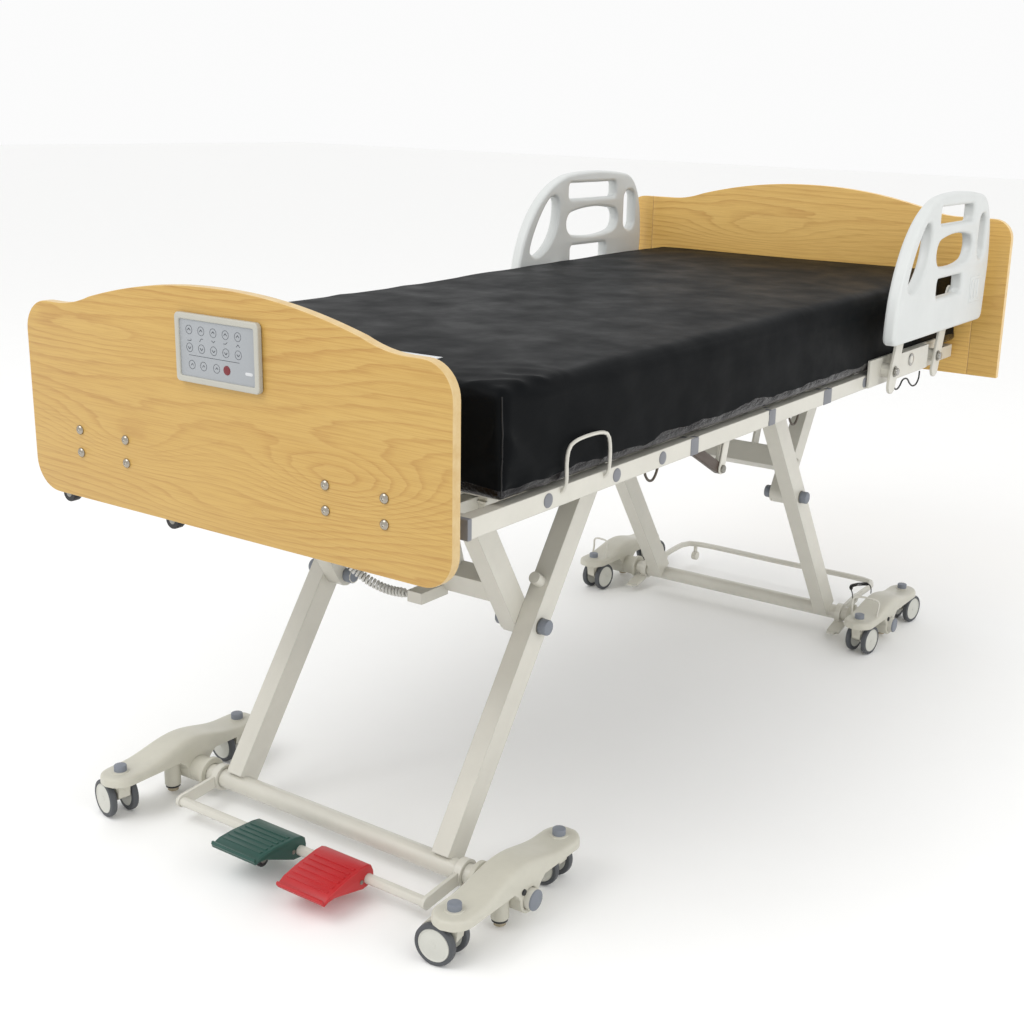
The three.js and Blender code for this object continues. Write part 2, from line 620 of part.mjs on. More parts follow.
function pod(end, side) {
  const centre = end.tube + end.podShift;
  const x = side * POD_X;
  const plungerY = end.tube + end.out * PLUNGER_S;
  const width = span(side, POD_X - POD_HALF, POD_X + POD_HALF);
  const plan = bar([x, centre - CASTER_T], [x, centre + CASTER_T], POD_HALF);
  const cover = slabX(podOutline(end), width).intersect(slabZ(plan, [POD_BOTTOM - 1, POD_END_TOP + POD_CROWN + 1]));
  const saddle = polygon([[end.tube - 52, POD_BOTTOM + 3], [end.tube - 24, TUBE_Z], [end.tube + 24, TUBE_Z],
    [end.tube + 52, POD_BOTTOM + 3]]);
  const caps = [-1, 1].map((k) => rodZ(12, x, centre + k * CASTER_T, [POD_END_TOP - 2, POD_END_TOP + 13], 14));
  const body = join([
    cover, slabX(saddle, width),
    rodX(HUB_R, span(side, 332, 451), end.tube, TUBE_Z, FINE),
    rodX(HUB_R + 4, span(side, 332, 342), end.tube, TUBE_Z, FINE),
    rodZ(15, x, plungerY, [20, POD_BOTTOM + 2]),
    ...caps,
    ...(end === ENDS.head ? [guard(side, centre - CASTER_T)] : []),
  ]);
  const stems = [-1, 1].map((k) => rodZ(6.2, x, centre + k * CASTER_T, [POD_BOTTOM - 2, POD_BOTTOM + 14], 10));
  return cut(body, [
    rodX(TUBE_R + 0.6, span(side, 320, 460), end.tube, TUBE_Z, FINE),
    rodZ(PLUNGER_R + 0.6, x, plungerY, [18, 64]),
    ...stems,
  ]);
}

// Wire guard over the inner end of a head-end pod
function guard(side, stemY) {
  const inner = side * (POD_X - 30);
  const outer = side * (POD_X + 30);
  const y = stemY + 22;
  return wire([[inner, y, POD_END_TOP - 6], [inner, y - 2, POD_END_TOP + 22], [inner, y + 4, POD_END_TOP + 42],
    [inner + side * 12, y + 12, POD_END_TOP + 46], [outer - side * 12, y + 22, POD_END_TOP + 44],
    [outer, y + 28, POD_END_TOP + 36], [outer, y + 26, POD_END_TOP + 14], [outer, y + 20, POD_END_TOP - 6]],
  2.5, 14, 3);
}

function plunger(end, side) {
  const y = end.tube + end.out * PLUNGER_S;
  return rodZ(PLUNGER_R, side * POD_X, y, [6, 54]);
}

// A ring that turns on the base tube, with a flat arm out to (s, z)
function ringArm(end, side, s, z) {
  const y = end.tube + end.out * s;
  const ring = rodX(HUB_R, span(side, ARM_X - 8, ARM_X + 8), end.tube, TUBE_Z, FINE);
  const arm = slabX(bar([end.tube, TUBE_Z], [y, z], 12), span(side, ARM_X - 4, ARM_X + 4));
  return join([ring, arm]).subtract(
    rodX(TUBE_R + 0.6, span(side, ARM_X - 12, ARM_X + 12), end.tube, TUBE_Z, FINE));
}

function pedalBar() {
  const end = ENDS.foot;
  return join([
    ringArm(end, -1, BAR_S, BAR_Z), ringArm(end, 1, BAR_S, BAR_Z),
    rodX(BAR_R, [-ARM_X, ARM_X], end.tube - BAR_S, BAR_Z),
  ]);
}

// A pedal that grips the bar; tilt raises its front edge
function pedal(x0, tilt) {
  const barY = ENDS.foot.tube - BAR_S;
  const turn = ([s, z]) => [barY - (s * Math.cos(tilt) - z * Math.sin(tilt)),
    BAR_Z + s * Math.sin(tilt) + z * Math.cos(tilt)];
  const side = polygon([[-16, -10], [-17, 10], [-12, 22], [0, 26], [60, 27], [98, 24], [110, 16], [104, 12],
    [84, 12], [60, 2], [30, -8], [12, -15]].map(turn));
  const body = slabX(side, [x0, x0 + 112]);
  return body.subtract(rodX(BAR_R + GAP, [x0 - 1, x0 + 113], barY, BAR_Z));
}

function brakeBar() {
  const end = ENDS.head;
  const y = (s) => end.tube + s;
  const half = ARM_X;
  const bend = 34;
  const low = BUMPER_Z - 6;
  const tube = wire([[-half, y(92), low], [-half, y(120), low + 3], [-half, y(BUMPER_S - bend), BUMPER_Z],
    [-half + 10, y(BUMPER_S - 10), BUMPER_Z], [-half + bend, y(BUMPER_S), BUMPER_Z],
    [0, y(BUMPER_S), BUMPER_Z], [half - bend, y(BUMPER_S), BUMPER_Z],
    [half - 10, y(BUMPER_S - 10), BUMPER_Z], [half, y(BUMPER_S - bend), BUMPER_Z],
    [half, y(120), low + 3], [half, y(92), low]], 8, 30, 3);
  const levers = [-1, 1].map((side) => {
    const plate = slabX(bar([y(-16), 30], [y(-66), 17], 2.5, false, false), span(side, ARM_X - 8, ARM_X + 26));
    const tip = slabX(bar([y(-64), 17.5], [y(-84), 19], 2.5, false, false), span(side, ARM_X - 2, ARM_X + 20));
    return join([plate, tip]);
  });
  const wheelX = -half + 26;
  return join([
    ringArm(end, -1, 104, low), ringArm(end, 1, 104, low), tube, ...levers,
    box([wheelX - 3, wheelX + 3], [y(BUMPER_S - 6), y(BUMPER_S + 6)], [30, BUMPER_Z]),
    rodX(13, [wheelX - 7, wheelX + 7], y(BUMPER_S), 32, 16),
  ]);
}

// ---------- casters ----------
// Built with the wheels trailing towards -Y at the stem's origin, then turned and placed
function placed(manifold, x, y, heading) {
  const { vertProperties, triVerts } = manifold.getMesh();
  const geometry = new THREE.BufferGeometry();
  geometry.setAttribute('position', new THREE.BufferAttribute(vertProperties, 3));
  geometry.setIndex(new THREE.BufferAttribute(triVerts, 1));
  geometry.rotateZ(heading);
  geometry.translate(x, y, 0);
  return solid(geometry);
}

function casterFork() {
  const side = new THREE.Shape();
  side.moveTo(-14, POD_BOTTOM - 2);
  side.lineTo(-16, 62);
  side.lineTo(-TRAIL - 9, WHEEL_R + 8);
  side.absarc(-TRAIL, WHEEL_R, 12, Math.PI * 0.75, Math.PI * 1.6, false);
  side.lineTo(10, 44);
  side.lineTo(15, POD_BOTTOM - 2);
  const body = slabX(side, [-12, 12]);
  const collar = rodZ(14, 0, 0, [60, POD_BOTTOM - GAP * 2], ROUND);
  const stem = rodZ(5.6, 0, 0, [70, POD_BOTTOM + 12], 10);
  return join([body, collar, stem]).subtract(rodX(4.6, [-20, 20], -TRAIL, WHEEL_R, 10));
}

function casterWheels() {
  const face = (k) => {
    const profile = [[0, 0], [WHEEL_R, 0], [WHEEL_R, WHEEL_T - 4], [WHEEL_R - 4, WHEEL_T], [0, WHEEL_T]];
    const lathe = new THREE.LatheGeometry(profile.map(([r, h]) => new THREE.Vector2(r, h)), FINE);
    lathe.rotateZ(k > 0 ? -Math.PI / 2 : Math.PI / 2);
    lathe.translate(k * (WHEEL_OUT - WHEEL_T), -TRAIL, WHEEL_R);
    return solid(lathe);
  };
  return join([face(-1), face(1), rodX(4, [-WHEEL_OUT + 6, WHEEL_OUT - 6], -TRAIL, WHEEL_R, 10)]);
}

// Headings as the casters stand: foot casters trail to the left, head casters towards the head
const CASTERS = [
  { name: 'foot_right_outer', end: ENDS.foot, side: 1, k: -1, heading: -83 },
  { name: 'foot_right_inner', end: ENDS.foot, side: 1, k: 1, heading: -90 },
  { name: 'foot_left_outer', end: ENDS.foot, side: -1, k: -1, heading: -103 },
  { name: 'foot_left_inner', end: ENDS.foot, side: -1, k: 1, heading: -96 },
  { name: 'head_right_inner', end: ENDS.head, side: 1, k: -1, heading: 172 },
  { name: 'head_right_outer', end: ENDS.head, side: 1, k: 1, heading: 170 },
  { name: 'head_left_inner', end: ENDS.head, side: -1, k: -1, heading: 174 },
  { name: 'head_left_outer', end: ENDS.head, side: -1, k: 1, heading: 170 },
];

function casterPieces({ name, end, side, k, heading }) {
  const x = side * POD_X;
  const y = end.tube + end.podShift + k * CASTER_T;
  const angle = THREE.MathUtils.degToRad(heading);
  return [
    piece(`caster_fork_${name}`, placed(casterFork(), x, y, angle), MOULDED),
    piece(`caster_wheels_${name}`, placed(casterWheels(), x, y, angle), TYRE),
  ];
}

// ---------- assist rails ----------
function assistMount(side) {
  const plate = box(span(side, 458, 464), [462, 900], [742, 806]);
  const pad = box(span(side, DECK_X + GAP, 459), [470, 892], [744, 768]);
  const housing = box(span(side, 463, 484), [582, 790], [750, 808]);
  const knob = [rodX(13, span(side, 483, ARM_IN - 0.6), 671, 785)];
  const bosses = [FRONT_PIVOT_Y, REAR_PIVOT_Y].flatMap((y) => [
    rodX(17, span(side, 463, ARM_IN - GAP), y, PIVOT_Z),
    rodX(7, span(side, 480, ARM_OUT + 5), y, PIVOT_Z, 16),
  ]);
  return join([plate, pad, housing, ...knob, ...bosses]);
}

function assistArm(side, y) {
  const lower = [y - SWING_Y * 0.2, PIVOT_Z - SWING_Z * 0.2];
  const upper = [y + SWING_Y, PIVOT_Z + SWING_Z];
  const arm = slabX(bar(lower, upper, 22), span(side, ARM_IN, ARM_OUT));
  return arm.subtract(rodX(7.5, span(side, ARM_IN - 2, ARM_OUT + 2), y, PIVOT_Z, 16));
}

const PANEL_LOW = 851;

function panelOutline() {
  const shape = new THREE.Shape();
  shape.moveTo(438, PANEL_LOW);
  shape.lineTo(1004, PANEL_LOW);
  shape.quadraticCurveTo(1022, PANEL_LOW, 1025, 872);
  shape.lineTo(1035, 985);
  shape.bezierCurveTo(1034, 1060, 1022, 1168, 930, 1172);
  shape.bezierCurveTo(840, 1184, 720, 1184, 640, 1172);
  shape.bezierCurveTo(500, 1140, 440, 1030, 421, 950);
  shape.bezierCurveTo(414, 915, 412, 890, 412, 872);
  shape.quadraticCurveTo(412, PANEL_LOW, 438, PANEL_LOW);
  return shape;
}

function panelOpenings() {
  const wedge = new THREE.Shape();
  wedge.moveTo(472, 976);
  wedge.bezierCurveTo(464, 990, 516, 1080, 556, 1110);
  wedge.bezierCurveTo(576, 1124, 600, 1118, 600, 1092);
  wedge.bezierCurveTo(600, 1032, 572, 992, 522, 970);
  wedge.bezierCurveTo(500, 960, 482, 964, 472, 976);
  const middle = new THREE.Shape();
  middle.moveTo(668, 1012);
  middle.bezierCurveTo(740, 1002, 820, 1002, 874, 1016);
  middle.bezierCurveTo(904, 1026, 906, 1062, 882, 1074);
  middle.bezierCurveTo(810, 1088, 735, 1086, 664, 1072);
  middle.bezierCurveTo(632, 1062, 634, 1020, 668, 1012);
  return [
    wedge, middle,
    roundedRect([650, 888], [1108, 1150], 12),
    roundedRect([662, 842], [936, 982], 12),
    roundedRect([936, 992], [1012, 1122], 24),
  ];
}

function assistPanel(side) {
  const x = span(side, PANEL_IN, PANEL_OUT);
  const cutRange = span(side, PANEL_IN - 2, PANEL_OUT + 2);
  const panel = slabX(panelOutline(), x, 5);
  const latch = slabX(roundedRect([904, 985], [902, 970], 6), span(side, PANEL_OUT - 1.5, PANEL_OUT + 1), 4);
  const bosses = [FRONT_PIVOT_Y, REAR_PIVOT_Y].map((y) => rodX(
    20, span(side, ARM_OUT + GAP, PANEL_IN + 2), y + SWING_Y, PIVOT_Z + SWING_Z));
  const openings = panelOpenings().map((shape) => slabX(shape, cutRange, 4));
  return cut(join([panel, ...bosses]), [...openings, latch]);
}

// ---------- cords ----------
function coilCable() {
  return wire([[-95, -795, 683.4], [-95, -795, 655], [-92, -774, 600], [-82, -742, 548], [-66, -722, 510],
    [-42, -708, 486], [-14, -700, 474], [14, -696, 470], [38, -694, 471], [57.4, -694, 471]], 9.6, 22, 4);
}

function releaseCord() {
  const x = 474;
  return wire([[x, 596, 741.7], [x, 596, 734], [x, 606, 722], [x, 622, 718], [x, 640, 724], [x, 652, 734],
    [x, 668, 737], [x, 688, 733], [x, 706, 720], [x, 730, 710], [x, 754, 712], [x, 768, 724],
    [x, 770, 734], [x, 770, 741.7]], 2, 30, 4);
}

function lanyard() {
  const x = ARM_X + 13;
  return wire([[x, 862, 78.5], [x - 1, 858, 95], [x - 1, 847, 111], [x + 3, 838, 123], [x + 13, 838, 129],
    [x + 25, 846, 131], [x + 36, 857, 131], [x + 42, 868, 126], [x + 44, 876, 114], [x + 44, 878, 100]],
  4.8, 24, 4);
}

// ---------- assembly ----------
const bed = new THREE.Group();
bed.name = 'adjustable_bed';

bed.add(piece('deck_frame', deckFrame(), CREAM));
bed.add(piece('footboard', footboard(), OAK));
bed.add(piece('headboard_centre', headboardCentre(), OAK));
bed.add(piece('headboard_wing_right', headboardWing(1), OAK));
bed.add(piece('headboard_wing_left', headboardWing(-1), OAK));
bed.add(piece('control_panel', controlPanel(), GREY_PANEL));
bed.add(piece('calf_section', calfSection(), CREAM));
bed.add(piece('thigh_section', thighSection(), CREAM));
bed.add(piece('back_section', backSection(), CREAM));
const MATTRESS_LENGTHS = {
  calf: [MATTRESS_FOOT, CALF_HINGE],
  thigh: [CALF_HINGE, THIGH_HINGE],
  seat: [THIGH_HINGE, BACK_HINGE],
  back: [BACK_HINGE, MATTRESS_HEAD],
};
for (const [length, [y0, y1]] of Object.entries(MATTRESS_LENGTHS)) {
  bed.add(piece(`mattress_${length}`, mattress(y0 + GAP, y1 - GAP), BLACK_COVER));
}
for (const [endName, end] of Object.entries(ENDS)) {
  bed.add(piece(`leg_frame_${endName}`, legFrame(end), CREAM));
  bed.add(piece(`brace_frame_${endName}`, braceFrame(end), CREAM));
  bed.add(piece(`lift_actuator_${endName}`, actuatorBody(end), GREY_PANEL));
  bed.add(piece(`lift_rod_${endName}`, actuatorRod(end), STEEL));
  for (const [sideName, side] of [['right', 1], ['left', -1]]) {
    bed.add(piece(`pod_${endName}_${sideName}`, pod(end, side), CREAM));
    bed.add(piece(`plunger_${endName}_${sideName}`, plunger(end, side), BEIGE));
  }
}
for (const caster of CASTERS) bed.add(...casterPieces(caster));
bed.add(piece('pedal_bar', pedalBar(), CREAM));
bed.add(piece('pedal_green', pedal(-103, 0.06), GREEN));
bed.add(piece('pedal_red', pedal(60, -0.14), RED));
bed.add(piece('brake_bar', brakeBar(), CREAM));
for (const [sideName, side] of [['right', 1], ['left', -1]]) {
  bed.add(piece(`assist_mount_${sideName}`, assistMount(side), CREAM));
  bed.add(piece(`assist_arm_front_${sideName}`, assistArm(side, FRONT_PIVOT_Y), CREAM));
  bed.add(piece(`assist_arm_rear_${sideName}`, assistArm(side, REAR_PIVOT_Y), CREAM));
  bed.add(piece(`assist_panel_${sideName}`, assistPanel(side), MOULDED));
}
bed.add(piece('coil_cable', coilCable(), WHITE_CABLE));
bed.add(piece('release_cord', releaseCord(), BLACK_CORD));
bed.add(piece('lanyard', lanyard(), BLACK_CORD));

export default bed;
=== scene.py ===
import math

import bmesh
import bpy
from mathutils import Matrix, Vector, noise


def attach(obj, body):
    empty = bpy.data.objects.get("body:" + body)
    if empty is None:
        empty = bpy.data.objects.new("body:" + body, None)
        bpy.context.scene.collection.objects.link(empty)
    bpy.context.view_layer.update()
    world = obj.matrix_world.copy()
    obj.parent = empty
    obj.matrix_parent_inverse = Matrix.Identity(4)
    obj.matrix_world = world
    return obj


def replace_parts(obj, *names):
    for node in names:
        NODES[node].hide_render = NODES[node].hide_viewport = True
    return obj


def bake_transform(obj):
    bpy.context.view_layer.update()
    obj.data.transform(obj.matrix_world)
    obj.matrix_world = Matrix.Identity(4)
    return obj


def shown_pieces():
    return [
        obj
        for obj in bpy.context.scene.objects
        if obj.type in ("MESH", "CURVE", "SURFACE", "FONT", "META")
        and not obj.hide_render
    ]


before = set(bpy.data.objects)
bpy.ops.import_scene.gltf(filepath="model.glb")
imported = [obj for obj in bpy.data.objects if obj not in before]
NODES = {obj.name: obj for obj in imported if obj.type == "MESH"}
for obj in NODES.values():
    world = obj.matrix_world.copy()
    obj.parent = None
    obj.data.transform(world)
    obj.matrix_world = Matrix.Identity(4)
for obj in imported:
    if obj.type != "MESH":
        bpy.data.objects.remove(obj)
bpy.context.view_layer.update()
MM = 0.001
TAU = 2 * math.pi


# ---------- camera ----------
CAMERA_AT = (1.648, -2.594, 1.357)
CAMERA_YAW, CAMERA_PITCH, CAMERA_ROLL = 33.4, 15.9, 1.6
CAMERA_LENS, CAMERA_SENSOR = 49.31, 36
CAMERA_SHIFT = (-0.0522, -0.0082)


def make_camera():
    yaw, pitch, roll = (math.radians(angle) for angle in (CAMERA_YAW, CAMERA_PITCH, CAMERA_ROLL))
    ahead = Vector((-math.sin(yaw) * math.cos(pitch), math.cos(yaw) * math.cos(pitch), -math.sin(pitch)))
    level = Vector((math.cos(yaw), math.sin(yaw), 0))
    above = level.cross(ahead)
    right = level * math.cos(roll) + above * math.sin(roll)
    up = above * math.cos(roll) - level * math.sin(roll)
    data = bpy.data.cameras.new("view")
    data.sensor_width = CAMERA_SENSOR
    data.lens = CAMERA_LENS
    data.shift_x, data.shift_y = CAMERA_SHIFT
    camera = bpy.data.objects.new("view", data)
    bpy.context.scene.collection.objects.link(camera)
    turn = Matrix((right, up, -ahead)).transposed().to_4x4()
    camera.matrix_world = Matrix.Translation(CAMERA_AT) @ turn
    bpy.context.scene.camera = camera


make_camera()


# ---------- materials ----------
STUDIO_LEVEL = 0.78


def linear(rgb, level=STUDIO_LEVEL):
    """A colour as seen in the bright studio, as linear light; level takes off the studio's brightness."""
    values = [c / 255 / 12.92 if c <= 10 else ((c / 255 + 0.055) / 1.055) ** 2.4 for c in rgb]
    return [level * value for value in values] + [1]


def shaded(colour, factor):
    """A linear colour made darker or lighter."""
    return [min(1, c * factor) for c in colour[:3]] + [1]


class Nodes:
    """Short calls that add nodes to one material."""

    def __init__(self, name):
        self.mat = bpy.data.materials.new(name)
        self.mat.use_nodes = True
        self.tree = self.mat.node_tree
        self.bsdf = self.tree.nodes["Principled BSDF"]
        self.coord = self.add("ShaderNodeTexCoord").outputs["Object"]

    def add(self, kind, **values):
        node = self.tree.nodes.new(kind)
        for key, value in values.items():
            setattr(node, key, value)
        return node

    def link(self, a, b):
        self.tree.links.new(a, b)

    def noise(self, scale, detail=3, rough=0.5, stretch=(1, 1, 1), vector=None):
        mapping = self.add("ShaderNodeMapping")
        mapping.inputs["Scale"].default_value = stretch
        self.link(vector or self.coord, mapping.inputs["Vector"])
        node = self.add("ShaderNodeTexNoise")
        node.inputs["Scale"].default_value = scale
        node.inputs["Detail"].default_value = detail
        node.inputs["Roughness"].default_value = rough
        self.link(mapping.outputs[0], node.inputs["Vector"])
        return node.outputs["Fac"]

    def split(self, vector):
        node = self.add("ShaderNodeSeparateXYZ")
        self.link(vector, node.inputs[0])
        return node.outputs

    def math(self, operation, a, b=0.0, c=0.0):
        node = self.add("ShaderNodeMath", operation=operation)
        for socket, value in zip(node.inputs, (a, b, c)):
            if hasattr(value, "links"):
                self.link(value, socket)
            else:
                socket.default_value = value
        return node.outputs[0]

    def ramp(self, factor, stops):
        node = self.add("ShaderNodeValToRGB")
        elements = node.color_ramp.elements
        while len(elements) < len(stops):
            elements.new(0.5)
        for element, (position, colour) in zip(elements, stops):
            element.position = position
            element.color = colour
        self.link(factor, node.inputs["Fac"])
        return node.outputs["Color"]

    def mix(self, factor, a, b):
        node = self.add("ShaderNodeMix", data_type="RGBA")
        for socket, value in ((node.inputs[0], factor), (node.inputs[6], a), (node.inputs[7], b)):
            if hasattr(value, "links"):
                self.link(value, socket)
            else:
                socket.default_value = value
        return node.outputs[2]

    def range(self, factor, low, high):
        node = self.add("ShaderNodeMapRange")
        self.link(factor, node.inputs[0])
        node.inputs["From Min"].default_value = 0.3
        node.inputs["From Max"].default_value = 0.7
        node.inputs["To Min"].default_value = low
        node.inputs["To Max"].default_value = high
        return node.outputs[0]

    def bump(self, height, distance, strength=1.0, edge=0.0):
        node = self.add("ShaderNodeBump")
        if edge:
            bevel = self.add("ShaderNodeBevel", samples=6)
            bevel.inputs["Radius"].default_value = edge
            self.link(bevel.outputs[0], node.inputs["Normal"])
        node.inputs["Strength"].default_value = strength
        node.inputs["Distance"].default_value = distance
        self.link(height, node.inputs["Height"])
        self.link(node.outputs[0], self.bsdf.inputs["Normal"])

    def set(self, **values):
        for key, value in values.items():
            self.bsdf.inputs[key.replace("_", " ")].default_value = value

    def colour(self, output):
        self.link(output, self.bsdf.inputs["Base Color"])

    def rough(self, output):
        self.link(output, self.bsdf.inputs["Roughness"])


def plain(name, rgb, rough, metal=0.0, vary=0.05, grain=900, depth=0.00006, coat=0.0, dirt=0.0, edge=0.0):
    """Paint, plastic, rubber or metal: mottled colour, uneven gloss and a fine surface grain."""
    n = Nodes(name)
    base = linear(rgb)
    tone = n.ramp(n.noise(9, 4), [(0.3, shaded(base, 1 - vary)), (0.7, shaded(base, 1 + vary * 0.6))])
    if dirt:
        grime = n.range(n.noise(34, 6, 0.65), 0.0, dirt)
        tone = n.mix(grime, tone, shaded(base, 0.62))
    n.colour(tone)
    n.rough(n.range(n.noise(21, 5), rough * 0.85, min(1, rough * 1.18)))
    n.bump(n.noise(grain, 2), depth, 0.6, edge)
    n.set(Metallic=metal, Coat_Weight=coat, Coat_Roughness=0.25)
    return n.mat


def brushed(name, rgb, rough, stretch):
    """Bare metal with fine lines along the stretched direction."""
    n = Nodes(name)
    base = linear(rgb)
    lines = n.noise(160, 3, 0.6, stretch)
    n.colour(n.ramp(lines, [(0.25, shaded(base, 0.75)), (0.75, base)]))
    n.rough(n.range(lines, rough * 0.7, rough * 1.3))
    n.bump(lines, 0.00008, 0.5)
    n.set(Metallic=1.0)
    return n.mat


def oak(name, shift, ovals=(), level=STUDIO_LEVEL):
    """Laminate printed with flat-sawn oak: contour lines of a stretched noise field, with nested ovals.

    Each oval is its centre x and z, its half width and half height in metres, and its count of rings."""
    n = Nodes(name)
    place = n.add("ShaderNodeMapping")
    place.inputs["Location"].default_value = shift
    n.link(n.coord, place.inputs["Vector"])
    v = place.outputs[0]
    parts = n.split(v)
    broad = n.noise(1.0, 1, 0.4, (1.0, 0, 3.6), v)
    fine = n.noise(1.0, 3, 0.6, (5, 0, 30), v)
    height = n.math("MULTIPLY", parts["Z"], 62.0)
    height = n.math("ADD", height, n.math("MULTIPLY", broad, 17.0))
    height = n.math("ADD", height, n.math("MULTIPLY", fine, 1.5))
    board = n.split(n.coord)
    for at_x, at_z, half_x, half_z, rings in ovals:
        u = n.math("DIVIDE", n.math("SUBTRACT", board["X"], at_x), half_x)
        w = n.math("DIVIDE", n.math("SUBTRACT", board["Z"], at_z), half_z)
        far = n.math("ADD", n.math("MULTIPLY", u, u), n.math("MULTIPLY", w, w))
        hill = n.math("EXPONENT", n.math("MULTIPLY", far, -1.0))
        height = n.math("ADD", height, n.math("MULTIPLY", hill, rings))
    wave = n.math("FRACT", height)
    early = linear((220, 180, 100), level)
    middle = linear((216, 174, 92), level)
    late = linear((184, 131, 58), level)
    rings = n.ramp(wave, [(0.0, early), (0.56, middle), (0.88, late), (0.97, early)])
    strength = n.range(n.noise(1.0, 2, 0.5, (1.6, 0, 7), v), 0.35, 1.0)
    rings = n.mix(strength, middle, rings)
    pores = n.noise(1.0, 4, 0.75, (7, 0, 430), v)
    streaks = n.ramp(pores, [(0.38, linear((178, 129, 60), level)),
                             (0.56, linear((223, 184, 105), level))])
    body = n.mix(0.36, rings, streaks)
    patch = n.ramp(n.noise(1.0, 2, 0.5, (2, 0, 12), v),
                   [(0.3, linear((202, 156, 78), level)), (0.7, linear((226, 190, 112), level))])
    face = n.mix(0.18, body, patch)
    normal = n.add("ShaderNodeTexCoord").outputs["Normal"]
    across = n.math("ABSOLUTE", n.split(normal)["Y"])
    is_face = n.math("GREATER_THAN", across, 0.8)
    band = n.ramp(n.noise(1.0, 3, 0.6, (60, 60, 60), v),
                  [(0.3, linear((224, 189, 126), level)), (0.7, linear((236, 207, 150), level))])
    n.colour(n.mix(is_face, band, face))
    n.rough(n.range(pores, 0.36, 0.46))
    n.bump(pores, 0.00008, 0.3)
    n.set(Coat_Weight=0.08, Coat_Roughness=0.3)
    return n.mat


def cover(name, top_rgb, hem_rgb, low_z):
    """Coated woven nylon: fine crossing threads, uneven gloss, and a glossier crumpled hem below."""
    n = Nodes(name)
    base, hem = linear(top_rgb), linear(hem_rgb)
    parts = n.split(n.coord)
    threads_per_m = 3300
    warp, weft, rise = (n.math("SINE", n.math("MULTIPLY", parts[axis], threads_per_m))
                        for axis in "XYZ")
    threads = n.math("ADD", n.math("MULTIPLY", warp, weft), rise)
    wander = n.math("MULTIPLY", n.noise(7, 3), -0.040)
    edge = n.math("ADD", parts["Z"], wander)
    in_hem = n.math("LESS_THAN", edge, low_z + 0.004)
    cloud = n.noise(3.2, 4, 0.55)
    tone = n.ramp(cloud, [(0.3, shaded(base, 0.86)), (0.72, shaded(base, 1.2))])
    n.colour(n.mix(in_hem, tone, hem))
    gloss = n.range(n.noise(11, 5), 0.42, 0.58)
    n.rough(n.mix(in_hem, gloss, (0.2, 0.2, 0.2, 1)))
    n.link(n.math("MULTIPLY_ADD", in_hem, 0.3, 0.045), n.bsdf.inputs["Specular IOR Level"])
    creases = n.noise(1.0, 4, 0.55, (14, 6, 18))
    puckers = n.noise(1.0, 3, 0.6, (70, 34, 90))
    height = n.math("ADD", n.math("MULTIPLY", threads, 0.04), n.math("MULTIPLY", creases, 4.0))
    height = n.math("ADD", height, n.math("MULTIPLY", n.math("MULTIPLY", puckers, in_hem), 14.0))
    n.bump(height, 0.0006, 0.5)
    n.set(Sheen_Weight=0.004, Sheen_Roughness=0.5)
    n.bsdf.inputs["Sheen Tint"].default_value = linear((150, 170, 180))
    return n.mat


ENAMEL = {"rgb": (233, 230, 218), "rough": 0.34, "vary": 0.03, "coat": 0.3, "dirt": 0.10}
MOULDED = {"rgb": (221, 218, 203), "rough": 0.42, "vary": 0.04, "coat": 0.1, "dirt": 0.16, "grain": 600,
           "depth": 0.0001}
CREAM = plain("cream_paint", **ENAMEL)
FRAME = plain("frame_paint", **ENAMEL, edge=0.0026)
POD = plain("pod_moulding", **MOULDED)
POD_EDGED = plain("fork_moulding", **MOULDED, edge=0.002)
ACTUATOR = plain("actuator_shell", (203, 205, 206), 0.42, vary=0.04, dirt=0.12, edge=0.003)
PANEL = plain("rail_moulding", (236, 239, 237), 0.38, vary=0.03, dirt=0.06, grain=500, depth=0.0001)
CAP = plain("grey_cap", (140, 146, 156), 0.5, vary=0.08, grain=700, dirt=0.15)
COLLAR = plain("grey_collar", (139, 141, 147), 0.45, vary=0.08, grain=700, dirt=0.15)
TYRE = plain("dark_tyre", (88, 91, 95), 0.55, vary=0.14, grain=500, depth=0.00015, dirt=0.3)
DISC = plain("wheel_disc", (226, 226, 217), 0.42, vary=0.03, dirt=0.12)
DARK = plain("dark_plastic", (38, 39, 42), 0.5, vary=0.15, dirt=0.2)
STEEL = brushed("bright_steel", (205, 203, 198), 0.24, (1, 1, 14))
BOLT = brushed("bolt_steel", (196, 188, 174), 0.2, (4, 4, 4))
ZINC = brushed("zinc_plate", (170, 168, 160), 0.36, (3, 1, 9))
GREEN = plain("green_plastic", (33, 84, 74), 0.4, vary=0.1, grain=800, depth=0.0001, dirt=0.2)
RED = plain("red_plastic", (205, 34, 40), 0.38, vary=0.08, grain=800, depth=0.0001, dirt=0.12)
BEIGE = plain("beige_rubber", (186, 174, 148), 0.6, vary=0.1, dirt=0.3)
CABLE = plain("white_cable", (231, 230, 224), 0.42, vary=0.03, dirt=0.12)
BLACK = plain("black_cord", (16, 16, 18), 0.45, vary=0.2)
MEMBRANE = plain("membrane", (176, 180, 184), 0.42, vary=0.02, grain=1500, depth=0.00004)
PANEL_FRAME = plain("panel_frame", (202, 200, 189), 0.42, vary=0.03, dirt=0.08)
INK = plain("print_ink", (66, 70, 78), 0.5, vary=0.05)
KEY_LIGHT = plain("key_print", (226, 228, 230), 0.42, vary=0.02)
KEY_RED = plain("key_red", (128, 36, 44), 0.4, vary=0.05)
FOOT_OVALS = ((-0.20, 0.795, 0.15, 0.040, 4.5), (0.27, 0.800, 0.17, 0.052, 6.5),
              (-0.24, 0.965, 0.30, 0.026, 2.6), (0.02, 0.715, 0.20, 0.03, 3.0))
